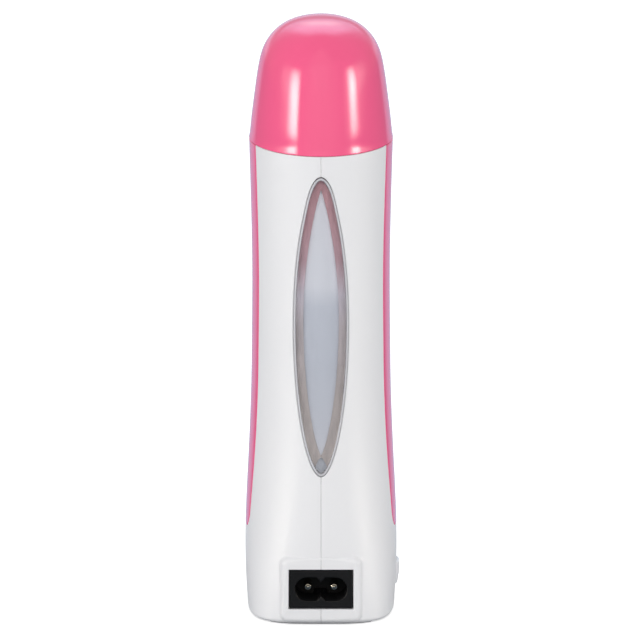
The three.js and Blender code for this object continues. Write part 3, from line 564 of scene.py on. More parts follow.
def mirrored(places, faces, normals):
    """The same form on the other side of the seam. The faces that have normals are triangles."""
    flip = [-1, 1, 1]
    return places * flip, flipped(faces), normals.reshape(-1, 3, 3)[:, ::-1].reshape(-1, 3) * flip


# White ABS from a satin tool: cool white, with a soft sheen that is even all over
white_abs = moulded_plastic("white_abs_satin", "#e7e7e9", 0.4, grain=0.45, relief=0.0015, spread=0.02,
                            shade=0.012)
make_piece("left_shell_skin", mirrored(*shell_form(False)), [white_abs], "housing", ["left_shell"])
make_piece("right_shell_skin", shell_form(True), [white_abs], "housing", ["right_shell"])


# Neck: the upright wall inside the shoulder that the collar is pressed over, moulded on each housing half in
# the same white ABS.
neck_width, neck_depth, neck_top, neck_wall = 19.72, 29.9, 162.6, 1.9


def ring_faces(rows, close=False):
    """Faces between rows of points that run round a form, each row the next one up. A row of one point is a
    pole. The last row joins the first one where the form closes on itself."""
    faces = []
    for below, above in zip(rows, rows[1:] + rows[:1] if close else rows[1:]):
        steps = max(len(below), len(above))
        for i in range(steps):
            j = (i + 1) % steps
            if len(below) == 1:
                faces.append((below[0], above[j], above[i]))
            elif len(above) == 1:
                faces.append((below[i], below[j], above[0]))
            else:
                faces.append((below[i], below[j], above[j], above[i]))
    return faces


def half_lathe(profile, steps=120):
    """A closed profile of (half width, half depth, height) taken round the right half, its two ends filled."""
    power = power_at(body_outline[-1][1])
    places, count = [], len(profile)
    for share in np.linspace(0, 1, steps + 1):
        for half_width, half_depth, height in profile:
            start = math.acos(seam_half_gap / half_width)
            turn = np.interp(share, turn_share, turn_steps) * start / (math.pi / 2)
            x, y = oval_point(turn, power)
            places.append((x * half_width, y / depth_ratio * half_depth, height))
    rows = [range(i * count, (i + 1) * count) for i in range(steps + 1)]
    return np.array(places), flipped([*ring_faces(rows), rows[0], rows[-1][::-1]])


foot_width = float(half_width_at(body_top)) - 1.7
foot_depth = foot_width * depth_ratio + 0.7
bore_width, bore_depth = neck_width - neck_wall, neck_depth - neck_wall
neck_profile = [(foot_width, foot_depth, body_top - 2), (foot_width, foot_depth, body_top - 0.02),
                (neck_width + 0.3, neck_depth + 0.3, body_top - 0.02),
                (neck_width, neck_depth, body_top + 0.25), (neck_width, neck_depth, neck_top - 0.4),
                (neck_width - 0.4, neck_depth - 0.4, neck_top),
                (bore_width + 0.3, bore_depth + 0.3, neck_top), (bore_width, bore_depth, neck_top - 0.3),
                (bore_width, bore_depth, body_top - 2)]
neck = half_lathe(neck_profile)
make_piece("right_neck", neck, [white_abs], "housing", [], smooth=False)
make_piece("left_neck", (neck[0] * [-1, 1, 1], flipped(neck[1])), [white_abs], "housing", [],
           smooth=False)


# Tongue and groove: a fin of white ABS along the seam, under the skin, that keeps light out of the joint. At
# the back it stops short of the window and of the inlet.
tongue_half, tongue_near, tongue_far = 0.9, 0.7, 1.4
seam_rows = [(float(half_width_at(height)) * depth_ratio, height)
             for height in np.arange(base_underside + 2.5, body_top - 1, 1.0)]
for front, name in ((-1, "seam_tongue_back"), (1, "seam_tongue_front")):
    places, faces = [], []
    for depth, height in seam_rows:
        for x, drop in ((-tongue_half, tongue_near), (tongue_half, tongue_near), (tongue_half, tongue_far),
                        (-tongue_half, tongue_far)):
            places.append((x, front * (depth - drop), height))
    rows = [range(4 * i, 4 * i + 4) for i in range(len(seam_rows))]
    solid = [i for i, (_, height) in enumerate(seam_rows[:-1])
             if front > 0 or not (window_low - 3 < height < window_high + 2
                                  or boss_middle[1] - 9 < height < boss_middle[1] + 9)]
    for i in solid:
        faces += ring_faces(rows[i:i + 2])
        if i - 1 not in solid:
            faces.append(tuple(rows[i][::-1]))
        if i + 1 not in solid:
            faces.append(tuple(rows[i + 1]))
    used = sorted({corner for face in faces for corner in face})
    fresh = {corner: i for i, corner in enumerate(used)}
    faces = [tuple(fresh[corner] for corner in face) for face in faces]
    make_piece(name, ([places[corner] for corner in used], flipped(faces) if front > 0 else faces), [white_abs],
               "housing", [], smooth=False)


# Side panels: pink ABS strips snapped into the recess of each flank, flush with the white skin, their edges
# softly rounded so that a thin shadow line runs round them.
def panel_form():
    gap, edge_round, thickness, top = 0.12, 0.4, 1.5, body_top - 0.1
    edge = panel_path(gap, top)
    lines = []
    for inward in (0, 0.05, 0.13, 0.25, 0.4, 1.0):
        run = evenly(panel_path(gap + inward, top - inward), 1.0)
        lines.append((np.stack([along_of(run[:, 0], run[:, 1], "flank"), run[:, 1]], -1), True))

    def keep(flat):
        place = skin_point(flat[:, 0], flat[:, 1])
        return outside(place[:, [1, 2]], edge) < 0

    low, high = lines[0][0].min(0), lines[0][0].max(0)
    flat, faces = fill(lines, grid(low, high, (1.8, 2.4), 0.75), keep)

    def outer(along, up):
        shape_in = np.shape(along)
        along, up = np.ravel(along), np.ravel(up)
        place, normal = skin_point(along, up), skin_normal(along, up)
        sink = rounding(-outside(place[:, [1, 2]], edge), edge_round)
        return (place - normal * sink[:, None]).reshape(*shape_in, 3)

    outside_points = outer(flat[:, 0], flat[:, 1])
    inside_points = skin_point(flat[:, 0], flat[:, 1]) - thickness * skin_normal(flat[:, 0], flat[:, 1])
    return closed_form(outside_points, inside_points, faces,
                       corner_normals(outer, flat, outside_points, faces))


# Pink ABS from a polished tool: strong and even in colour, with crisp reflections
pink_abs = moulded_plastic("pink_abs_polished_strip", "#ee5f8c", 0.14, grain=0.8, relief=0.002, shade=0.02)
panel = panel_form()
make_piece("right_panel", panel, [pink_abs], "housing", ["right_side_panel"])
make_piece("left_panel", mirrored(*panel), [pink_abs], "housing", ["left_side_panel"])


# Cap: glossy pink ABS dome, 1.6 mm thick, polished tool. Its foot flares by a hair to a round bead that rests
# on the shoulder of the housing.
def oval_ring(half_width, half_depth, height, steps):
    """Points of one level oval, from the back round by the right."""
    turn = np.interp(np.linspace(0, 1, steps // 2 + 1), turn_share, turn_steps)
    x, y = oval_point(turn, power_at(body_outline[-1][1]))
    x[[0, -1]] = 0
    right = np.stack([x * half_width, y / depth_ratio * half_depth, np.full(len(x), height)], -1)
    left = (right[1:-1] * [-1, 1, 1])[::-1]
    return np.concatenate([right, left])


def sunk(half_width, height, inset):
    """A row of a lathe that lies an inset under the housing's own oval."""
    return half_width, (half_width + inset) * depth_ratio - inset, height


def oval_lathe(profile, steps=240, close=False):
    """A profile of (half width, half depth, height) taken round the oval. A row of no width is a pole."""
    places, rows = [], []
    for half_width, half_depth, height in profile:
        pole = half_width < 1e-6
        ring = [(0, 0, height)] if pole else oval_ring(half_width, half_depth, height, steps)
        rows.append(range(len(places), len(places) + len(ring)))
        places += [tuple(place) for place in ring]
    return np.array(places), ring_faces(rows, close)


def round_corner(start, corner, end, steps=6):
    """A quarter turn from one point to another about the corner between them."""
    start, corner, end = np.array(start, float), np.array(corner, float), np.array(end, float)
    points = []
    for i in range(steps + 1):
        turn = math.pi / 2 * i / steps
        from_start, to_end = (start - corner) * (1 - math.sin(turn)), (end - corner) * (1 - math.cos(turn))
        points.append(tuple(corner + from_start + to_end))
    return points


cap_low, cap_top, cap_wall = 155.99, 196.0, 1.6
cap_side = [(23.56, 156.3), (23.27, 158.1), (23.04, 160.4), (22.56, 164.8), (21.96, 169.6), (21.22, 175.2),
            (20.3, 180.9), (19.33, 184.7), (17.76, 188.0), (15.47, 190.9), (12.45, 193.25), (8.4, 194.95),
            (3.9, 195.8), (0, 196.0), (-3.9, 195.8), (-8.4, 194.95)]
cap_curve = smooth_curve(cap_side, 300)
cap_curve = cap_curve[cap_curve[:, 0] > 0.25]
cap_foot = round_corner((23.1, cap_low), (23.57, cap_low), (23.57, cap_low + 0.35), 6)
inner_curve = smooth_curve(cap_side, 90)
inner_curve = inner_curve[inner_curve[:, 0] > 2.4]
inward = []
for (x0, z0), (x1, z1), (x2, z2) in zip(inner_curve, inner_curve[1:], inner_curve[2:]):
    run = np.array([x2 - x0, z2 - z0])
    run /= np.linalg.norm(run)
    inward.append((x1 - cap_wall * run[1], z1 + cap_wall * run[0]))
inward = [sunk(x, z, cap_wall) for x, z in inward if x > 1.0]
inner_top = max(row[2] for row in inward) + 0.02
cap_profile = [(0, 0, inner_top), *inward[::-1]]
cap_profile += [sunk(22.0, cap_low + 0.35, cap_wall), sunk(22.3, cap_low, 1.3)]
cap_profile += [sunk(x, z, 0) for x, z in cap_foot + [tuple(p) for p in cap_curve if p[1] > cap_low + 0.45]]
cap_profile += [(0, 0, cap_top)]
# The same polished pink ABS on a dome: a clear gloss that runs over the whole top
pink_gloss = moulded_plastic("pink_abs_polished", "#f35f8c", 0.13, grain=0.8, relief=0.003, shade=0.02)
make_piece("cap_dome", oval_lathe(cap_profile), [pink_gloss], "cap", ["cap"])


# Window: clear polycarbonate lens snapped in from inside, its border painted pale as the highlight of its
# rounded edge; behind it a brown silicone gasket runs round a frosted pane in front of the pocket.
def back_depth(across, height):
    """How far back the plain skin lies at a place of the back."""
    half_width = level(level_of(height))[1]
    share = np.clip(np.abs(across) / half_width, 0, 0.999)
    power = power_at(height)
    return half_width * depth_ratio * (1 - share ** power) ** (1 / power)


def back_sheet(outline, rings, depth_at, thickness, spacing=(1.2, 2.4), holes=()):
    """A curved sheet on the back: depth_at gives how deep its face lies under the plain skin. Returns the form
    and how far the middle of each face of its front lies inside the outline."""
    lines = [(evenly(ring, 1.0), True) for ring in [*rings, *holes]]

    def keep(flat):
        stays = outside(flat, outline) < 0
        for hole in holes:
            stays &= outside(flat, hole) > 0
        return stays

    flat, faces = fill(lines, grid(outline.min(0), outline.max(0), spacing, 0.5), keep)

    def surface(across, height):
        depth = depth_at(np.ravel(across), np.ravel(height)).reshape(np.shape(across))
        return np.stack([across, -(back_depth(across, height) - depth), height], -1)

    front = surface(flat[:, 0], flat[:, 1])
    behind = front + [0, thickness, 0]
    form = closed_form(front, behind, faces, corner_normals(surface, flat, front, faces))
    return form, -outside(front[faces].mean(1)[:, [0, 2]], outline)


lens_rim, lens_border, lens_step, lens_sink = 0.1, 0.66, 0.22, 0.3
lens_width, lens_low, lens_high = window_width - 0.5, window_low + 0.25, window_high - 0.25
lens_outline = leaf(lens_width, lens_low, lens_high, *window_fullness)
lens_rings = [leaf(lens_width - 2 * g, lens_low + 1.6 * g, lens_high - 1.6 * g, *window_fullness)
              for g in (0, lens_rim, 0.26, 0.46, lens_border, lens_border + lens_step / 2,
                        lens_border + lens_step, 1.6)]


def lens_depth(across, height):
    inside = -outside(np.stack([across, height], -1), lens_outline)
    return rounding(inside, 0.3) - 0.1 + lens_sink * np.clip((inside - lens_border) / lens_step, 0, 1)


def lets_light_through(finish):
    """Shadow rays pass, as light passes a clear sheet."""
    tree = finish.node_tree
    shader = tree.nodes["Principled BSDF"]
    path = add_node(tree, "ShaderNodeLightPath")
    clear = add_node(tree, "ShaderNodeBsdfTransparent")
    both = add_node(tree, "ShaderNodeMixShader", [(path.outputs["Is Shadow Ray"], 0), (shader.outputs[0], 1),
                                                  (clear.outputs[0], 2)])
    tree.links.new(both.outputs[0], tree.nodes["Material Output"].inputs["Surface"])


# Clear polycarbonate, polished: almost no colour, sharp and faint reflections
clear_pc, tree, shader = new_finish("clear_polycarbonate")
shader.inputs["Base Color"].default_value = linear("#fbfbfd")
shader.inputs["IOR"].default_value = 1.58
shader.inputs["Transmission Weight"].default_value = 1.0
place = add_node(tree, "ShaderNodeTexCoord").outputs["Object"]
waves = add_node(tree, "ShaderNodeTexNoise", [(place, "Vector")], Scale=90.0, Detail=1.0)
sheen = add_node(tree, "ShaderNodeMapRange", [(waves.outputs["Fac"], "Value")], To_Min=0.02, To_Max=0.05)
tree.links.new(sheen.outputs["Result"], shader.inputs["Roughness"])
# The same sheet on its border: a pale, matt grey that is a painted highlight of the lens's rounded edge
painted_highlight_pc = moulded_plastic("polycarbonate_border_painted_highlight", "#c3c3c8", 0.42, grain=0.3, relief=0.012, shade=0.05)
# Polished step between the border and the clear field, and the outer rim of the lens: their dark grey is
# painted shade, for the gap line round the lens and for the step that looks through its own edge
painted_shade_edge_pc = moulded_plastic("polycarbonate_edge_painted_shade", "#98969b", 0.12, grain=0.6, relief=0.004, shade=0.25)
for finish in (clear_pc, painted_highlight_pc, painted_shade_edge_pc):
    lets_light_through(finish)
lens, inside = back_sheet(lens_outline, lens_rings, lens_depth, 1.2)
# Faces by how far inside the outline they lie: the outer rim and the step get the dark painted shade, the
# border between them the pale painted highlight, the rest stays clear; the sheet's side rim is painted shade
# too
face_kind = np.select([inside < lens_rim, inside < lens_border, inside < lens_border + lens_step], [2, 1, 2], 0)
rim_faces = np.full(len(lens[1]) - 2 * len(inside), 2)
make_piece("lens", lens, [clear_pc, painted_highlight_pc, painted_shade_edge_pc], "housing", ["window_lens"],
           np.concatenate([face_kind, face_kind, rim_faces]).astype(int))


def by_height(name, stops, roughness, streak, relief, ior):
    """A finish whose colour follows the height in millimetres, with streaks along the height."""
    finish, tree, shader = new_finish(name)
    place = add_node(tree, "ShaderNodeTexCoord").outputs["Object"]
    height = add_node(tree, "ShaderNodeSeparateXYZ", [(place, "Vector")]).outputs["Z"]
    stretched = add_node(tree, "ShaderNodeMapping", [(place, "Vector")], Scale=(1, 1, 0.12))
    streaks = add_node(tree, "ShaderNodeTexNoise", [(stretched.outputs[0], "Vector")], Scale=900.0, Detail=2.0)
    low, high = stops[0][0], stops[-1][0]
    share = add_node(tree, "ShaderNodeMapRange", [(height, "Value")], From_Min=low / 1000, From_Max=high / 1000)
    tones = add_node(tree, "ShaderNodeValToRGB", [(share.outputs["Result"], "Fac")])
    ramp = tones.color_ramp
    while len(ramp.elements) < len(stops):
        ramp.elements.new(0.5)
    for element, (at, color) in zip(ramp.elements, stops):
        element.position = (at - low) / (high - low)
        element.color = linear(color)
    change = add_node(tree, "ShaderNodeMapRange", [(streaks.outputs["Fac"], "Value")], From_Min=0.35,
                      From_Max=0.65, To_Min=1 - streak, To_Max=1 + streak)
    toned = add_node(tree, "ShaderNodeVectorMath", [(tones.outputs["Color"], 0), (change.outputs["Result"], 1)],
                     operation="MULTIPLY")
    tree.links.new(toned.outputs[0], shader.inputs["Base Color"])
    fine_surface(tree, streaks, shader, roughness, 0.2, 0.4, relief)
    shader.inputs["IOR"].default_value = ior
    return finish


pane_outline = leaf(11.2, 56.1, 144.6, 0.92, 0.75)
gasket_outline = leaf(window_width + 1.4, window_low - 0.6, window_high + 0.6, 0.6, 0.53, 0.1)
gasket_foot = np.array([(0, 49.5), (1.2, 50.6), (2.0, 52.2), (0.9, 54.6), (0, 55.7), (-0.9, 54.6),
                        (-2.0, 52.2), (-1.2, 50.6)])
gasket_sink, pane_sink, sheet_thickness = 2.6, 3.35, 0.6
# Silicone rubber, compression moulded: a waxy brown with painted light and reflection by height, a pink tinge
# and lighter tone toward the top, a pale band near 109 mm and greyer shade toward its foot, and upright
# streaks of painted highlight
brown_silicone = by_height("brown_silicone", [(49, "#beb4ae"), (75, "#c2b8b2"), (98, "#c6bcbb"),
                                              (109, "#d7ced4"), (121, "#c9a5aa"), (149, "#cf9c9f")],
                           0.42, 0.09, 0.02, 1.41)
gasket, _ = back_sheet(gasket_outline, [gasket_outline], lambda x, z: np.full(np.shape(x), gasket_sink),
                       sheet_thickness, holes=[pane_outline, gasket_foot])
make_piece("gasket", gasket, [brown_silicone], "housing", ["window_gasket"])
# Frosted polycarbonate: a soft grey with painted light and shade by height for the inside of the pocket,
# near white above about 110 mm, grey below it and darker again below 56 mm
pane_painted_shade = by_height("frosted_polycarbonate", [(49, "#c3c6cb"), (55.5, "#c6c9ce"), (57, "#dcdde2"),
                                              (66, "#d3d5db"), (84, "#cfd2d9"), (105, "#d2d5dc"),
                                              (112, "#eaebef"), (149, "#f6f6f9")], 0.45, 0.012, 0.008, 1.58)
pane, _ = back_sheet(gasket_outline, [gasket_outline], lambda x, z: np.full(np.shape(x), pane_sink),
                     sheet_thickness)
make_piece("pane", pane, [pane_painted_shade], "housing", ["sight_pane"])


# Inlet: black glass-filled nylon block, moulded, with a figure-of-eight socket for the mains lead. Two pins of
# nickel-plated brass are pressed through its back wall, and the housing halves close round it.
def socket_outline(inward):
    """Two round lobes with flat crowns that meet in a steep notch above and below."""
    radius, offset, notch_start, notch_end = 3.925 - inward, 4.575, 1.45, 2.3
    points = []
    for side in (1, -1):
        for i in range(25):
            turn = -side * math.pi / 2 + math.pi * i / 24
            points.append((side * offset + radius * math.cos(turn), inlet_middle[1] + radius * math.sin(turn)))
        points.append((side * notch_start, inlet_middle[1] + side * radius))
        points.append((0, inlet_middle[1] + side * (notch_end - inward)))
        points.append((-side * notch_start, inlet_middle[1] + side * radius))
    return np.array(points)


def inlet_form():
    face_depth, back_depth_of_block, socket_deep, edge_round, mouth_round = 35.5, 17.5, 12.0, 0.3, 0.35
    width, height = inlet_width - 0.6, inlet_height - 0.6
    body = rounded_box(width, height, edge_round, inlet_middle, 3)
    rings = [rounded_box(width - 2 * g, height - 2 * g, max(edge_round - g, 0.02), inlet_middle, 3)
             for g in (0, 0.06, 0.15, 0.3, 0.9)]
    lines = [(evenly(ring, 0.8), True) for ring in rings]
    for inward in (-0.35, -0.2, -0.08, 0, 0.05):
        lines.append((evenly(socket_outline(inward), 0.6), True))
    mouth = socket_outline(0)

    def surface(across, height):
        shape_in = np.shape(across)
        flat = np.stack([np.ravel(across), np.ravel(height)], -1)
        to_socket, to_edge = outside(flat, mouth), -outside(flat, body)
        depth = rounding(to_edge, edge_round) + rounding(to_socket, mouth_round)
        wall = mouth_round + (socket_deep - mouth_round) * np.clip(-to_socket / recess_wall_run, 0, 1)
        depth = np.where(to_socket > 0, depth, wall)
        return np.stack([flat[:, 0], -(face_depth - depth), flat[:, 1]], -1).reshape(*shape_in, 3)

    flat, faces = fill(lines, grid(body.min(0), body.max(0), (1.2, 1.2), 0.45),
                       lambda middle: outside(middle, body) < 0)
    front = surface(flat[:, 0], flat[:, 1])
    behind = front.copy()
    behind[:, 1] = -(face_depth - back_depth_of_block)
    return closed_form(front, behind, faces, corner_normals(surface, flat, front, faces))


# Black glass-filled nylon: almost black and dull, because the glass fibres break up its gloss
black_nylon = moulded_plastic("black_nylon", "#151517", 0.5, grain=0.35, relief=0.01, shade=0.2)
black_nylon.node_tree.nodes["Principled BSDF"].inputs["Specular IOR Level"].default_value = 0.25
make_piece("inlet_block", inlet_form(), [black_nylon], "housing", ["inlet_body"])


def turned_pin(side):
    """Round pin with a domed tip, along Y."""
    radius, tip, tail, offset = 1.18, -32.3, -15.3, 4.3
    dome, ring, steps = 0.62, 0.16, 32
    arc = np.linspace(0.25, math.pi / 2, 6)
    profile = [(0, tip)] + [(dome * math.sin(a), tip + 0.3 * (1 - math.cos(a))) for a in arc]
    profile += [(dome + 0.03, tip + 0.42), (dome + 0.12, tip + 0.42), (dome + ring, tip + 0.3)]
    profile += [(dome + ring + (radius - dome - ring) * math.sin(a), tip + 0.3 + 0.5 * (1 - math.cos(a)))
                for a in arc]
    profile += [(radius, tail), (0, tail)]
    places, rows = [], []
    for r, y in profile:
        turns = np.linspace(0, 2 * math.pi, steps, endpoint=False) if r else [0]
        rows.append(range(len(places), len(places) + len(turns)))
        places += [(side * offset + r * math.cos(t), y, inlet_middle[1] + r * math.sin(t)) for t in turns]
    return np.array(places), flipped(ring_faces(rows))


def metal(name, color, roughness, grain, spread, along=(1, 1, 1), relief=0.01):
    """Bare metal with a fine grain of a real size in millimetres; along stretches the grain one way."""
    finish, tree, shader = new_finish(name)
    place = add_node(tree, "ShaderNodeTexCoord").outputs["Object"]
    stretched = add_node(tree, "ShaderNodeMapping", [(place, "Vector")], Scale=along)
    grains = add_node(tree, "ShaderNodeTexNoise", [(stretched.outputs[0], "Vector")], Scale=1000 / grain,
                      Detail=3.0)
    two_tones(tree, grains, color, spread, shader)
    fine_surface(tree, grains, shader, roughness, 0.25, 0.4, relief)
    shader.inputs["Metallic"].default_value = 1.0
    return finish


# Nickel plate over turned brass: warm grey and bright, with the fine rings of the lathe
nickel = metal("nickel_plate", "#d3ccc0", 0.17, 0.25, 0.15, (1, 0.2, 1), 0.004)
for side, name in ((-1, "inlet_pin_left"), (1, "inlet_pin_right")):
    make_piece(name.replace("inlet_", "socket_"), turned_pin(side), [nickel], "housing", [name])


# Collar: white polypropylene ring pressed over the neck of both halves. It holds them together at the top,
# guides the cap and frames the mouth of the pocket.
def cap_half_width(height):
    rows = cap_curve[cap_curve[:, 0] > 3]
    return float(np.interp(height, rows[:, 1], rows[:, 0]))


collar_low, collar_high, collar_roof_low, collar_inset = 156.15, 164.5, 162.9, 1.92
collar_rows = [(15.9, 26.9, collar_high - 0.35), (15.9, 26.9, collar_roof_low), (20.02, 30.2, collar_roof_low),
               (20.02, 30.2, collar_low)]
collar_rows += [sunk(cap_half_width(z) - collar_inset - d, z, collar_inset + d)
                for z, d in ((collar_low, 0.3), (collar_low + 0.3, 0.0), (159, 0.0), (162, 0.0), (163.7, 0.0),
                             (164.1, 0.1), (164.38, 0.36), (collar_high, 0.75))]
collar_rows += [(16.25, 27.25, collar_high)]
# Polypropylene: a softer, waxier white than the ABS
white_pp = moulded_plastic("white_polypropylene", "#ececee", 0.4, grain=0.6, relief=0.015, shade=0.02, ior=1.49)
make_piece("collar", oval_lathe(collar_rows, close=True), [white_pp], "housing", ["cartridge_collar"])


# Pocket: an aluminium sleeve, deep drawn and slotted behind the window, with polyimide film wound round it.
# The cartridge stands in it on a cast aluminium floor.
def sleeve_form(half_width, half_depth, low, high, wall, slot):
    """A thin oval tube with a slot in its back; along runs round it from the middle of its front."""
    girth = 2 * math.pi * half_width
    power = power_at(body_outline[-1][1])

    def surface(along, up, inset=0.0):
        turn = math.pi / 2 + 2 * math.pi * along / girth
        x, y = oval_point(turn, power)
        return np.stack([x * (half_width - inset), y / depth_ratio * (half_depth - inset), up + 0 * along], -1)

    right = slot[slot[:, 0] >= 0]
    turn = np.arccos(np.clip(right[:, 0] / half_width, -1, 1))
    reach = np.stack([girth / 2 + (math.pi / 2 - turn) / (2 * math.pi) * girth, right[:, 1]], -1)
    hole = np.concatenate([reach, ([girth, 0] - reach * [1, -1])[::-1][1:-1]])
    box = np.array([(0, low), (girth, low), (girth, high), (0, high)], float)

    def keep(flat):
        return (outside(flat, hole) > 0) & (outside(flat, box) < 0)

    flat, faces = fill([(evenly(box, 2.0), True), (evenly(hole, 1.5), True)],
                       grid(box[0], box[2], (2.5, 6), 1.2), keep)
    outer = surface(flat[:, 0], flat[:, 1])
    inner = surface(flat[:, 0], flat[:, 1], wall)
    return closed_form(outer, inner, faces, corner_normals(surface, flat, outer, faces))


def dress(finish, *nodes):
    """Gives a finish to parts of the frame whose own shape stays."""
    for name in nodes:
        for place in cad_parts[name].material_slots:
            place.material = finish


sight_slot = leaf(8.6, 60.5, 140.5, 0.75, 0.75)
# Drawn aluminium: faint upright scuffs from the punch, so it shines softly up and down
drawn_aluminium = metal("drawn_aluminium", "#c9cacc", 0.32, 0.5, 0.12, (1, 1, 0.06))
sleeve = sleeve_form(17.3, 28.3, 48.15, 153.6, 1.1, sight_slot)
make_piece("sleeve", sleeve, [drawn_aluminium], "housing", ["heating_sleeve"])
# Polyimide film: amber, glossy and a little creased where it is wound on
polyimide = by_height("polyimide_film", [(48, "#93601f"), (80, "#9a6626"), (110, "#8f5b1f"), (152, "#966224")],
                      0.22, 0.07, 0.05, 1.7)
wrap_slot = leaf(11.4, 56.6, 144.2, 0.75, 0.75)
wrap = sleeve_form(18.1, 29.1, 48.45, 151.6, 0.6, wrap_slot)
make_piece("wrap", wrap, [polyimide], "housing", ["insulation_wrap"])
# Die cast aluminium: grey and grainy, without a direction
dress(metal("cast_aluminium", "#b4b6b8", 0.5, 0.9, 0.16, relief=0.03), "pocket_floor")


# Heater stack under the pocket: a ceramic heater, a thermostat and a fuse in its sleeve, pressed up by a
# sprung steel bridge. Their own shapes stay.
# Steatite: off-white, with the specks of a fired body
dress(moulded_plastic("steatite_ceramic", "#dcd5c8", 0.55, grain=0.7, relief=0.03, shade=0.14, ior=1.6),
      "heating_element")
# Nickel-plated steel can, deep drawn: warm grey and bright
dress(metal("nickel_plated_can", "#cfcabf", 0.22, 0.8, 0.08), "thermostat")
# Braided glass sleeve: fine ribs round the fuse
dress(by_height("glass_fibre_sleeve", [(41, "#d9d4c6"), (43, "#e9e5da"), (46, "#dcd7c9")],
                0.7, 0.12, 0.08, 1.5), "thermal_fuse")
# Spring steel strip: blue-grey, rolled along its length
dress(metal("spring_steel_strip", "#a9adb3", 0.28, 0.4, 0.14, (1, 0.06, 1)), "spring_bridge")


# Screws: zinc-plated steel with a cross recess. Two cross the housing under the left side panel and two hold
# the bridge to the pillars of the pocket's floor. One Geometry Nodes tree makes them all.
def new_tree(name, inputs):
    """A Geometry Nodes tree with inputs of the given kinds. Returns it and what comes out of its input node."""
    tree = bpy.data.node_groups.new(name, "GeometryNodeTree")
    for label, kind in inputs.items():
        tree.interface.new_socket(label, in_out="INPUT", socket_type="NodeSocket" + kind)
    tree.interface.new_socket("Geometry", in_out="OUTPUT", socket_type="NodeSocketGeometry")
    return tree, add_node(tree, "NodeGroupInput").outputs


def end_tree(tree, geometry, finish):
    """Makes the geometry real, gives it its finish and lets it out of the tree."""
    real = add_node(tree, "GeometryNodeRealizeInstances", [(geometry, 0)])
    coated = add_node(tree, "GeometryNodeSetMaterial", [(real.outputs[0], "Geometry")], Material=finish)
    add_node(tree, "NodeGroupOutput", [(coated.outputs[0], 0)])
    return tree


def screw_tree(finish):
    """Head, cross recess, shank and thread rings along -Z from the seat of the head, on every point given."""
    sizes = ("Head diameter", "Head height", "Shank diameter", "Shank length", "Thread pitch")
    tree, given = new_tree("screw", {"Points": "Geometry", **dict.fromkeys(sizes, "Float"), "Turn": "Vector"})

    def times(size, factor):
        product = add_node(tree, "ShaderNodeMath", [(given[size], 0), (factor, 1)], operation="MULTIPLY")
        return product.outputs[0]

    def raised(size, factor):
        """A shift along Z by a size times a factor."""
        return add_node(tree, "ShaderNodeCombineXYZ", [(times(size, factor), "Z")]).outputs[0]

    def moved(form, size, factor):
        shift = raised(size, factor)
        return add_node(tree, "GeometryNodeTransform", [(form, "Geometry"), (shift, "Translation")]).outputs[0]

    head = add_node(tree, "GeometryNodeMeshCone", [(times("Head diameter", 0.5), "Radius Bottom"),
                                                   (times("Head diameter", 0.42), "Radius Top"),
                                                   (given["Head height"], "Depth")], Vertices=40)
    bar = add_node(tree, "ShaderNodeCombineXYZ", [(times("Head diameter", 0.56), "X"),
                                                  (times("Head diameter", 0.13), "Y"),
                                                  (given["Head height"], "Z")])
    slot = add_node(tree, "GeometryNodeMeshCube", [(bar.outputs[0], "Size")]).outputs["Mesh"]
    crossed = add_node(tree, "GeometryNodeTransform", [(slot, "Geometry")], Rotation=(0, 0, math.pi / 2))
    recessed = add_node(tree, "GeometryNodeMeshBoolean", [(head.outputs["Mesh"], 0),
                                                          (moved(slot, "Head height", 1.35), 1),
                                                          (moved(crossed.outputs[0], "Head height", 1.35), 1)],
                        operation="DIFFERENCE")
    shank = add_node(tree, "GeometryNodeMeshCylinder", [(times("Shank diameter", 0.38), "Radius"),
                                                        (given["Shank length"], "Depth")], Vertices=24)
    turns = add_node(tree, "ShaderNodeMath", [(given["Shank length"], 0), (given["Thread pitch"], 1)],
                     operation="DIVIDE")
    lower, upper = [add_node(tree, "GeometryNodeMeshCone", [(times("Shank diameter", bottom), "Radius Bottom"),
                                                            (times("Shank diameter", top), "Radius Top"),
                                                            (times("Thread pitch", 0.5), "Depth")],
                             Vertices=24).outputs["Mesh"] for bottom, top in ((0.5, 0.38), (0.38, 0.5))]
    crest = add_node(tree, "GeometryNodeJoinGeometry", [(lower, 0), (moved(upper, "Thread pitch", -0.5), 0)])
    line = add_node(tree, "GeometryNodeMeshLine", [(turns.outputs[0], "Count"),
                                                   (raised("Thread pitch", -0.98), "Offset")])
    thread = add_node(tree, "GeometryNodeInstanceOnPoints", [(line.outputs[0], "Points"),
                                                             (crest.outputs[0], "Instance")])
    screw = add_node(tree, "GeometryNodeJoinGeometry", [(recessed.outputs["Mesh"], 0),
                                                        (moved(shank.outputs["Mesh"], "Shank length", -0.5), 0),
                                                        (moved(thread.outputs[0], "Thread pitch", -0.6), 0)])
    turned = add_node(tree, "GeometryNodeTransform", [(screw.outputs[0], "Geometry"),
                                                      (given["Turn"], "Rotation")])
    spread = add_node(tree, "GeometryNodeInstanceOnPoints", [(given["Points"], "Points"),
                                                             (turned.outputs[0], "Instance")])
    return end_tree(tree, spread.outputs[0], finish)


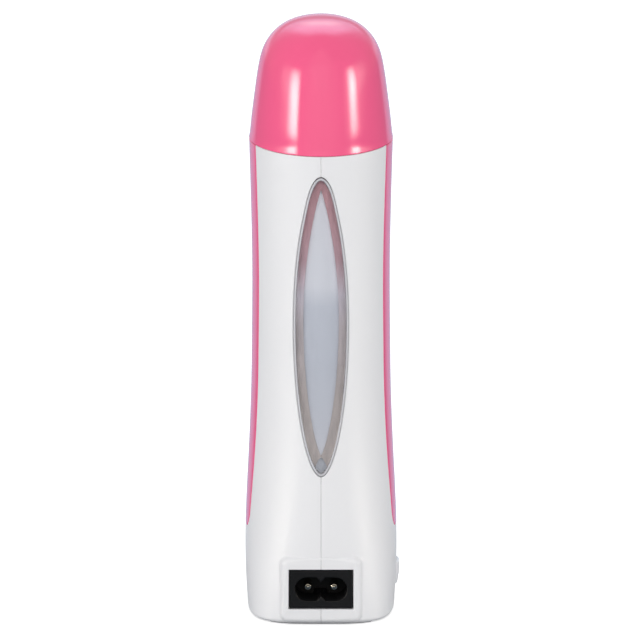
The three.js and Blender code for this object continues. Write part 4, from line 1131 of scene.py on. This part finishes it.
def grow_from(tree, name, places, edges, values, stands_for):
    """Runs a tree on points in millimetres and keeps its result as a plain piece of the housing."""
    seed_mesh = bpy.data.meshes.new(name + "_seed")
    seed_mesh.from_pydata([tuple(c * 0.001 for c in place) for place in places], edges, [])
    seed = bpy.data.objects.new(name + "_seed", seed_mesh)
    bpy.context.scene.collection.objects.link(seed)
    modifier = seed.modifiers.new("tree", "NODES")
    modifier.node_group = tree
    for socket in tree.interface.items_tree:
        if socket.in_out == "INPUT" and socket.name in values:
            modifier[socket.identifier] = values[socket.name]
    bpy.context.view_layer.update()
    graph = bpy.context.evaluated_depsgraph_get()
    mesh = bpy.data.meshes.new_from_object(seed.evaluated_get(graph))
    mesh.name = name
    bpy.data.objects.remove(seed)
    mesh.polygons.foreach_set("use_smooth", [True] * len(mesh.polygons))
    mesh.set_sharp_from_angle(angle=sharp_angle)
    settle(name, mesh, "housing", stands_for)


# Zinc plate, clear passivated: bright grey with a bluish cast
zinc_steel = metal("zinc_plated_steel", "#b9bec6", 0.25, 0.7, 0.1)
screws = screw_tree(zinc_steel)
grow_from(screws, "shell_screws", [(-20.08, side * 8.6, 35.1) for side in (-1, 1)], [],
          {"Head diameter": 0.005, "Head height": 0.0014, "Shank diameter": 0.0026, "Shank length": 0.0306,
           "Thread pitch": 0.0009, "Turn": (0, -math.pi / 2, 0)}, ["shell_screw_back", "shell_screw_front"])
grow_from(screws, "bridge_screws", [(0, side * 19.17, 39.8) for side in (-1, 1)], [],
          {"Head diameter": 0.0042, "Head height": 0.0011, "Shank diameter": 0.002, "Shank length": 0.0041,
           "Thread pitch": 0.0006, "Turn": (math.pi, 0, 0)}, ["bridge_screw_back", "bridge_screw_front"])


# Switch: a black nylon body clipped between two shelves behind the right flank, with two brass terminals. Its
# white rocker turns on two small pivots and stands a little proud of the flank.
dress(black_nylon, "switch_body")
# Brass strip, stamped: warm yellow with a rolled grain
dress(metal("stamped_brass", "#cdb267", 0.3, 0.5, 0.1, (0.08, 1, 1)), "switch_terminal_lower",
      "switch_terminal_upper")
rocker_face, rocker_inner, rocker_up, pivot_x = 25.656, 19.36, 10.9, 20.956
rocker_profile = [(rocker_inner, -3.6), (24.066, -4.0), (25.066, -3.75), (rocker_face, -0.1),
                  (rocker_face, 3.4), (25.2, 3.75), (rocker_inner, 3.6)]


def rounded_path(points, radius, steps=5):
    """A closed convex outline with its corners rounded."""
    points, path = np.array(points, float), []
    for before, corner, after in zip(np.roll(points, 1, axis=0), points, np.roll(points, -1, axis=0)):
        to_before, to_after = unit(before - corner), unit(after - corner)
        half = math.acos(np.clip(to_before @ to_after, -1, 1)) / 2
        shorter = min(np.linalg.norm(before - corner), np.linalg.norm(after - corner))
        run = min(radius / math.tan(half), 0.45 * shorter)
        start, end = corner + run * to_before, corner + run * to_after
        for s in np.linspace(0, 1, steps + 1):
            path.append((1 - s) ** 2 * start + 2 * s * (1 - s) * corner + s * s * end)
    return np.array(path)


def rocker_form():
    """The key in layers along Y, each with its inset and the drop of its face, and its two round pivots."""
    bend_start, half_height, steps = 23.0, 4.2, 24
    path = rounded_path(rocker_profile, 0.7)
    layers = [(-5.5, 0.62, 1.15), (-5.38, 0.4, 1.0), (-5.1, 0.25, 0.8), (-4.6, 0.12, 0.5), (-3.8, 0.04, 0.2),
              (-2.6, 0, 0)]
    layers += [(-y, inset, drop) for y, inset, drop in layers[::-1]]
    places, rows = [], []
    for y, inset, drop in layers:
        shrunk = path * [1, 1 - inset / half_height]
        out = np.clip((shrunk[:, 0] - bend_start) / (rocker_face - bend_start), 0, 1)
        rows.append(range(len(places), len(places) + len(path)))
        places += [(x - drop * share, y, rocker_up + z) for (x, z), share in zip(shrunk, out)]
    faces = [*ring_faces(rows), tuple(rows[0]), tuple(rows[-1][::-1])]
    for side in (-1, 1):
        rows = []
        for y, radius in ((5.2, 0.9), (6.35, 0.9), (6.5, 0.75)):
            rows.append(range(len(places), len(places) + steps))
            places += [(pivot_x + radius * math.cos(t), side * y, rocker_up + radius * math.sin(t))
                       for t in np.linspace(0, 2 * math.pi, steps, endpoint=False)]
        pivot = [*ring_faces(rows), tuple(rows[0][::-1]), tuple(rows[-1])]
        faces += flipped(pivot) if side > 0 else pivot
    return np.array(places), faces


# White ABS from a polished tool: it catches a sharper highlight than the housing
white_rocker = moulded_plastic("white_abs_rocker", "#e9e9ec", 0.24, grain=0.5, relief=0.008, shade=0.015)
make_piece("rocker_key", rocker_form(), [white_rocker], "rocker", ["switch_rocker"])


# Base pad: grey thermoplastic rubber, moulded, glued into a shallow recess of the base so that the heater
# doesn't slip. Its grey band along the foot of the base is partly painted shade for the shaded underside. Its
# foot has a small bevel.
def pad_form():
    inset, half_wide, half_deep = 1.6, 16.75, 32.8
    turn = np.linspace(-math.pi, math.pi, 241)[:-1]
    width = float(level(level_of(np.array(base_underside + base_edge)))[1]) - inset
    x, y = oval_point(turn, power_at(0.0))
    ring = np.stack([x * width, y * (width + inset) - np.sign(y) * inset * np.abs(y / depth_ratio)], -1)
    ring[:, 0] = np.clip(ring[:, 0], -half_wide, half_wide)
    places, rows = [], []
    for height, shrink in ((0.0, 0.45), (0.08, 0.2), (0.25, 0.05), (0.5, 0.0), (1.25, 0.0)):
        rows.append(range(len(places), len(places) + len(ring)))
        places += [(px * (1 - shrink / half_wide), py * (1 - shrink / half_deep), height) for px, py in ring]
    return np.array(places), [*ring_faces(rows), tuple(rows[0][::-1]), tuple(rows[-1])]


# Thermoplastic rubber: a matt grey without any highlight; partly painted shade for the underside of the base
grey_rubber_painted_shade = moulded_plastic("pad_rubber_grey_painted_shade", "#bcbcbf", 0.8, grain=0.5, relief=0.04, shade=0.06,
                              ior=1.5)
make_piece("foot_pad", pad_form(), [grey_rubber_painted_shade], "housing", ["base_pad"])


# Wiring: stranded copper in PVC, from the inlet through the switch, the fuse, the heater and the thermostat
# and back. Geometry Nodes lay a round wire along each route.
def wire_tree(finish):
    tree, given = new_tree("wire", {"Routes": "Geometry", "Diameter": "Float"})
    route = add_node(tree, "GeometryNodeMeshToCurve", [(given["Routes"], 0)])
    smooth = add_node(tree, "GeometryNodeCurveSplineType", [(route.outputs[0], "Curve")],
                      spline_type="CATMULL_ROM")
    finer = add_node(tree, "GeometryNodeSetSplineResolution", [(smooth.outputs[0], 0)], Resolution=8)
    radius = add_node(tree, "ShaderNodeMath", [(given["Diameter"], 0), (0.5, 1)], operation="MULTIPLY")
    section = add_node(tree, "GeometryNodeCurvePrimitiveCircle", [(radius.outputs[0], "Radius")], Resolution=14)
    tube = add_node(tree, "GeometryNodeCurveToMesh", [(finer.outputs[0], "Curve"),
                                                      (section.outputs[0], "Profile Curve")], Fill_Caps=True)
    return end_tree(tree, tube.outputs[0], finish)


brown_routes = {
    "wire_inlet_to_switch": [(4.3, -10, 12.3), (4.3, -8.4, 12.3), (5.46, 0, 7.8), (7.06, 0, 7.8)],
    "wire_switch_to_fuse": [(7.06, 0, 14), (5.46, 0, 14), (0, 4.8, 24.55), (-4.8, 13.3, 30.3),
                            (-8.21, 14.9, 38.5), (-9.01, 13.3, 43.7), (-9.01, 9.7, 43.7)],
    "wire_fuse_to_heater": [(-9.01, -9.7, 43.7), (-9.01, -14.5, 42.7), (-5.5, -20.87, 42.7),
                            (-3.9, -17.67, 42.7), (-3.9, -16.07, 42.7)],
}
blue_routes = {
    "wire_heater_to_thermostat": [(3.9, 16.07, 42.7), (3.9, 17.67, 42.7), (5.5, 20.87, 42.7),
                                  (9.01, 15.1, 42.7), (9.01, 10.3, 42.7)],
    "wire_thermostat_to_inlet": [(9.01, -10.3, 42.7), (9.01, -13.3, 42.7), (9.01, -14.9, 38.5),
                                 (4.8, -13.3, 30.3), (0, -4.8, 24.55), (-2.7, 1.6, 14), (-4.3, -8.4, 12.3),
                                 (-4.3, -10, 12.3)],
}
for name, color, routes in (("brown_wire", "#6b4630", brown_routes), ("blue_wire", "#3c5f96", blue_routes)):
    # PVC, extruded: an even, waxy colour with a faint grain
    pvc = moulded_plastic(name.replace("wire", "pvc"), color, 0.4, grain=0.5, relief=0.01, shade=0.1,
                          ior=1.53)
    places = [spot for route in routes.values() for spot in route]
    edges, first = [], 0
    for route in routes.values():
        edges += [(first + i, first + i + 1) for i in range(len(route) - 1)]
        first += len(route)
    grow_from(wire_tree(pvc), name.replace("wire", "wires"), places, edges, {"Diameter": 0.0016}, list(routes))


# Studio: a long lens on the back of the heater, four soft lamps and a white floor. The lamps light the matt
# surfaces. What the gloss mirrors, white upright cards and a cool one behind the heater, is in the world.
lens_length, camera_distance, camera_height = 804.0, 4.69, 11.9
target = Vector((-0.00033, 0, 0.0948))
camera = bpy.data.objects.new("camera", bpy.data.cameras.new("camera"))
bpy.context.scene.collection.objects.link(camera)
camera.data.lens, camera.data.sensor_width = lens_length, 36
camera.data.clip_start, camera.data.clip_end = 0.1, 50
rise = math.radians(camera_height)
camera.location = target + Vector((0, -math.cos(rise), math.sin(rise))) * camera_distance
camera.rotation_euler = (target - camera.location).to_track_quat("-Z", "Y").to_euler()
bpy.context.scene.camera = camera


lit_point = Vector((0, 0, 0.1))


def softbox(name, azimuth, elevation, distance, size, power):
    """A large soft lamp, in metres and watts, that the camera and the gloss don't see."""
    lamp = bpy.data.lights.new(name, "AREA")
    lamp.shape, lamp.size, lamp.size_y, lamp.energy = "RECTANGLE", size[0], size[1], power
    box = bpy.data.objects.new(name, lamp)
    bpy.context.scene.collection.objects.link(box)
    a, e = math.radians(azimuth), math.radians(elevation)
    toward = Vector((math.sin(a) * math.cos(e), -math.cos(a) * math.cos(e), math.sin(e)))
    box.location = lit_point + distance * toward
    box.rotation_euler = (-toward).to_track_quat("-Z", "Y").to_euler()
    box.visible_camera = False
    box.visible_glossy = False


softbox("front_key", -4, 30, 2.0, (1.6, 1.2), 15.4)
softbox("left_fill", -84, 14, 1.3, (0.6, 0.5), 2.7)
softbox("right_fill", 88, 14, 1.3, (0.5, 0.5), 1.9)
softbox("back_fill", 180, 50, 1.3, (1.7, 0.6), 4.5)


def fade(tree, value, start, end):
    """0 on the near side of start, 1 beyond end, and smooth between them."""
    step = add_node(tree, "ShaderNodeMapRange", [(value, "Value")], interpolation_type="SMOOTHSTEP",
                    From_Min=start, From_Max=end)
    return step.outputs["Result"]


def compass(tree, direction):
    """Degrees round from the camera's side, 0 to 180, the same with a sign that is plus toward the right, and
    degrees of rise."""
    per_radian = math.degrees(1)
    parts = add_node(tree, "ShaderNodeSeparateXYZ", [(direction, "Vector")])
    back = add_node(tree, "ShaderNodeMath", [(parts.outputs["Y"], 0), (-1, 1)], operation="MULTIPLY")
    turn = add_node(tree, "ShaderNodeMath", [(parts.outputs["X"], 0), (back.outputs[0], 1)],
                    operation="ARCTAN2")
    around = add_node(tree, "ShaderNodeMath", [(turn.outputs[0], 0), (per_radian, 1)], operation="MULTIPLY")
    away = add_node(tree, "ShaderNodeMath", [(around.outputs[0], 0)], operation="ABSOLUTE")
    tilt = add_node(tree, "ShaderNodeMath", [(parts.outputs["Z"], 0)], operation="ARCSINE")
    rise = add_node(tree, "ShaderNodeMath", [(tilt.outputs[0], 0), (per_radian, 1)], operation="MULTIPLY")
    return away.outputs[0], around.outputs[0], rise.outputs[0]


floor_mesh = bpy.data.meshes.new("floor")
floor_mesh.from_pydata([(-30, -30, 0), (30, -30, 0), (30, 30, 0), (-30, 30, 0)], [], [(0, 1, 2, 3)])
floor = bpy.data.objects.new("floor", floor_mesh)
bpy.context.scene.collection.objects.link(floor)
card_color, card_light, mirrored_level = "#b4d0ec", 0.95, 0.25
floor_paint, tree, shader = new_finish("floor_paint")
shader.inputs["Base Color"].default_value = (0.8, 0.8, 0.8, 1)
shader.inputs["Roughness"].default_value = 0.9
path = add_node(tree, "ShaderNodeLightPath")
glow = add_node(tree, "ShaderNodeEmission", Strength=0.5, Color=(1, 1, 1, 1))
both = add_node(tree, "ShaderNodeAddShader", [(shader.outputs[0], 0), (glow.outputs[0], 1)])
seen = add_node(tree, "ShaderNodeMixShader", [(path.outputs["Is Camera Ray"], 0), (shader.outputs[0], 1),
                                              (both.outputs[0], 2)])
away, _, _ = compass(tree, add_node(tree, "ShaderNodeNewGeometry").outputs["Position"])
card_share = add_node(tree, "ShaderNodeMath", [(fade(tree, away, 141, 150), 0),
                                               (card_light - mirrored_level, 1)], operation="MULTIPLY")
card_strength = add_node(tree, "ShaderNodeMath", [(card_share.outputs[0], 0), (mirrored_level, 1)],
                         operation="ADD")
card = add_node(tree, "ShaderNodeEmission", [(card_strength.outputs[0], "Strength")], Color=linear(card_color))
mirrored_floor = add_node(tree, "ShaderNodeMixShader", [(path.outputs["Is Glossy Ray"], 0),
                                                        (seen.outputs[0], 1), (card.outputs[0], 2)])
tree.links.new(mirrored_floor.outputs[0], tree.nodes["Material Output"].inputs["Surface"])
floor_mesh.materials.append(floor_paint)

world = bpy.data.worlds.new("studio")
bpy.context.scene.world = world
world.use_nodes = True
tree = world.node_tree
path = add_node(tree, "ShaderNodeLightPath")
away, around, rise = compass(tree, add_node(tree, "ShaderNodeTexCoord").outputs["Generated"])
strip_rise = [fade(tree, rise, -0.5, 5.5), fade(tree, rise, 28, 2)]
behind = fade(tree, away, 149, 168)
strips = [
    (17, fade(tree, around, -52, -62), fade(tree, around, -84, -67), *strip_rise),
    (3.4, fade(tree, around, -52, -64), fade(tree, around, -108, -74), *strip_rise),
    (17, fade(tree, around, 65, 77), fade(tree, around, 91, 80), *strip_rise),
    (3.0, fade(tree, around, 52, 76), fade(tree, around, 122, 86), *strip_rise),
    (0.4, fade(tree, away, 60, 25)),
    (0.9, fade(tree, away, 168, 177), fade(tree, rise, 18, 24), fade(tree, rise, 34, 25)),
]
cool_cards = [
    (0.95, behind, fade(tree, rise, 14.5, 16.5), fade(tree, rise, 60, 44)),
    (1.1, behind, fade(tree, rise, 20, 36), fade(tree, rise, 62, 38)),
    (0.3, fade(tree, away, 141, 150), fade(tree, rise, 5, 9), fade(tree, rise, 60, 44)),
    (card_light, fade(tree, away, 141, 150), fade(tree, rise, 9, 5)),
]


def glow_of(cards, total, color):
    """A background as bright as a level and all its cards: each is a strength and the fades at its edges."""
    for strength, *edges in cards:
        for edge in edges:
            share = add_node(tree, "ShaderNodeMath", [(strength, 0), (edge, 1)], operation="MULTIPLY")
            strength = share.outputs[0]
        total = add_node(tree, "ShaderNodeMath", [(strength, 0), (total, 1)], operation="ADD").outputs[0]
    return add_node(tree, "ShaderNodeBackground", [(total, "Strength")], Color=linear(color)).outputs[0]


in_gloss = add_node(tree, "ShaderNodeAddShader", [(glow_of(strips, mirrored_level, "#fff8e8"), 0),
                                                  (glow_of(cool_cards, 0.0, card_color), 1)])
plain = add_node(tree, "ShaderNodeBackground", Strength=0.62, Color=(1, 1, 1, 1))
bright = add_node(tree, "ShaderNodeBackground", Strength=1.0, Color=(1, 1, 1, 1))
lit = add_node(tree, "ShaderNodeMixShader", [(path.outputs["Is Glossy Ray"], 0), (plain.outputs[0], 1),
                                             (in_gloss.outputs[0], 2)])
through = add_node(tree, "ShaderNodeMath", [(path.outputs["Is Camera Ray"], 0),
                                            (path.outputs["Is Transmission Ray"], 1)], operation="MAXIMUM")
mixed = add_node(tree, "ShaderNodeMixShader", [(through.outputs[0], 0), (lit.outputs[0], 1),
                                               (bright.outputs[0], 2)])
tree.links.new(mixed.outputs[0], tree.nodes["World Output"].inputs["Surface"])

bpy.context.scene.view_settings.view_transform = "Standard"
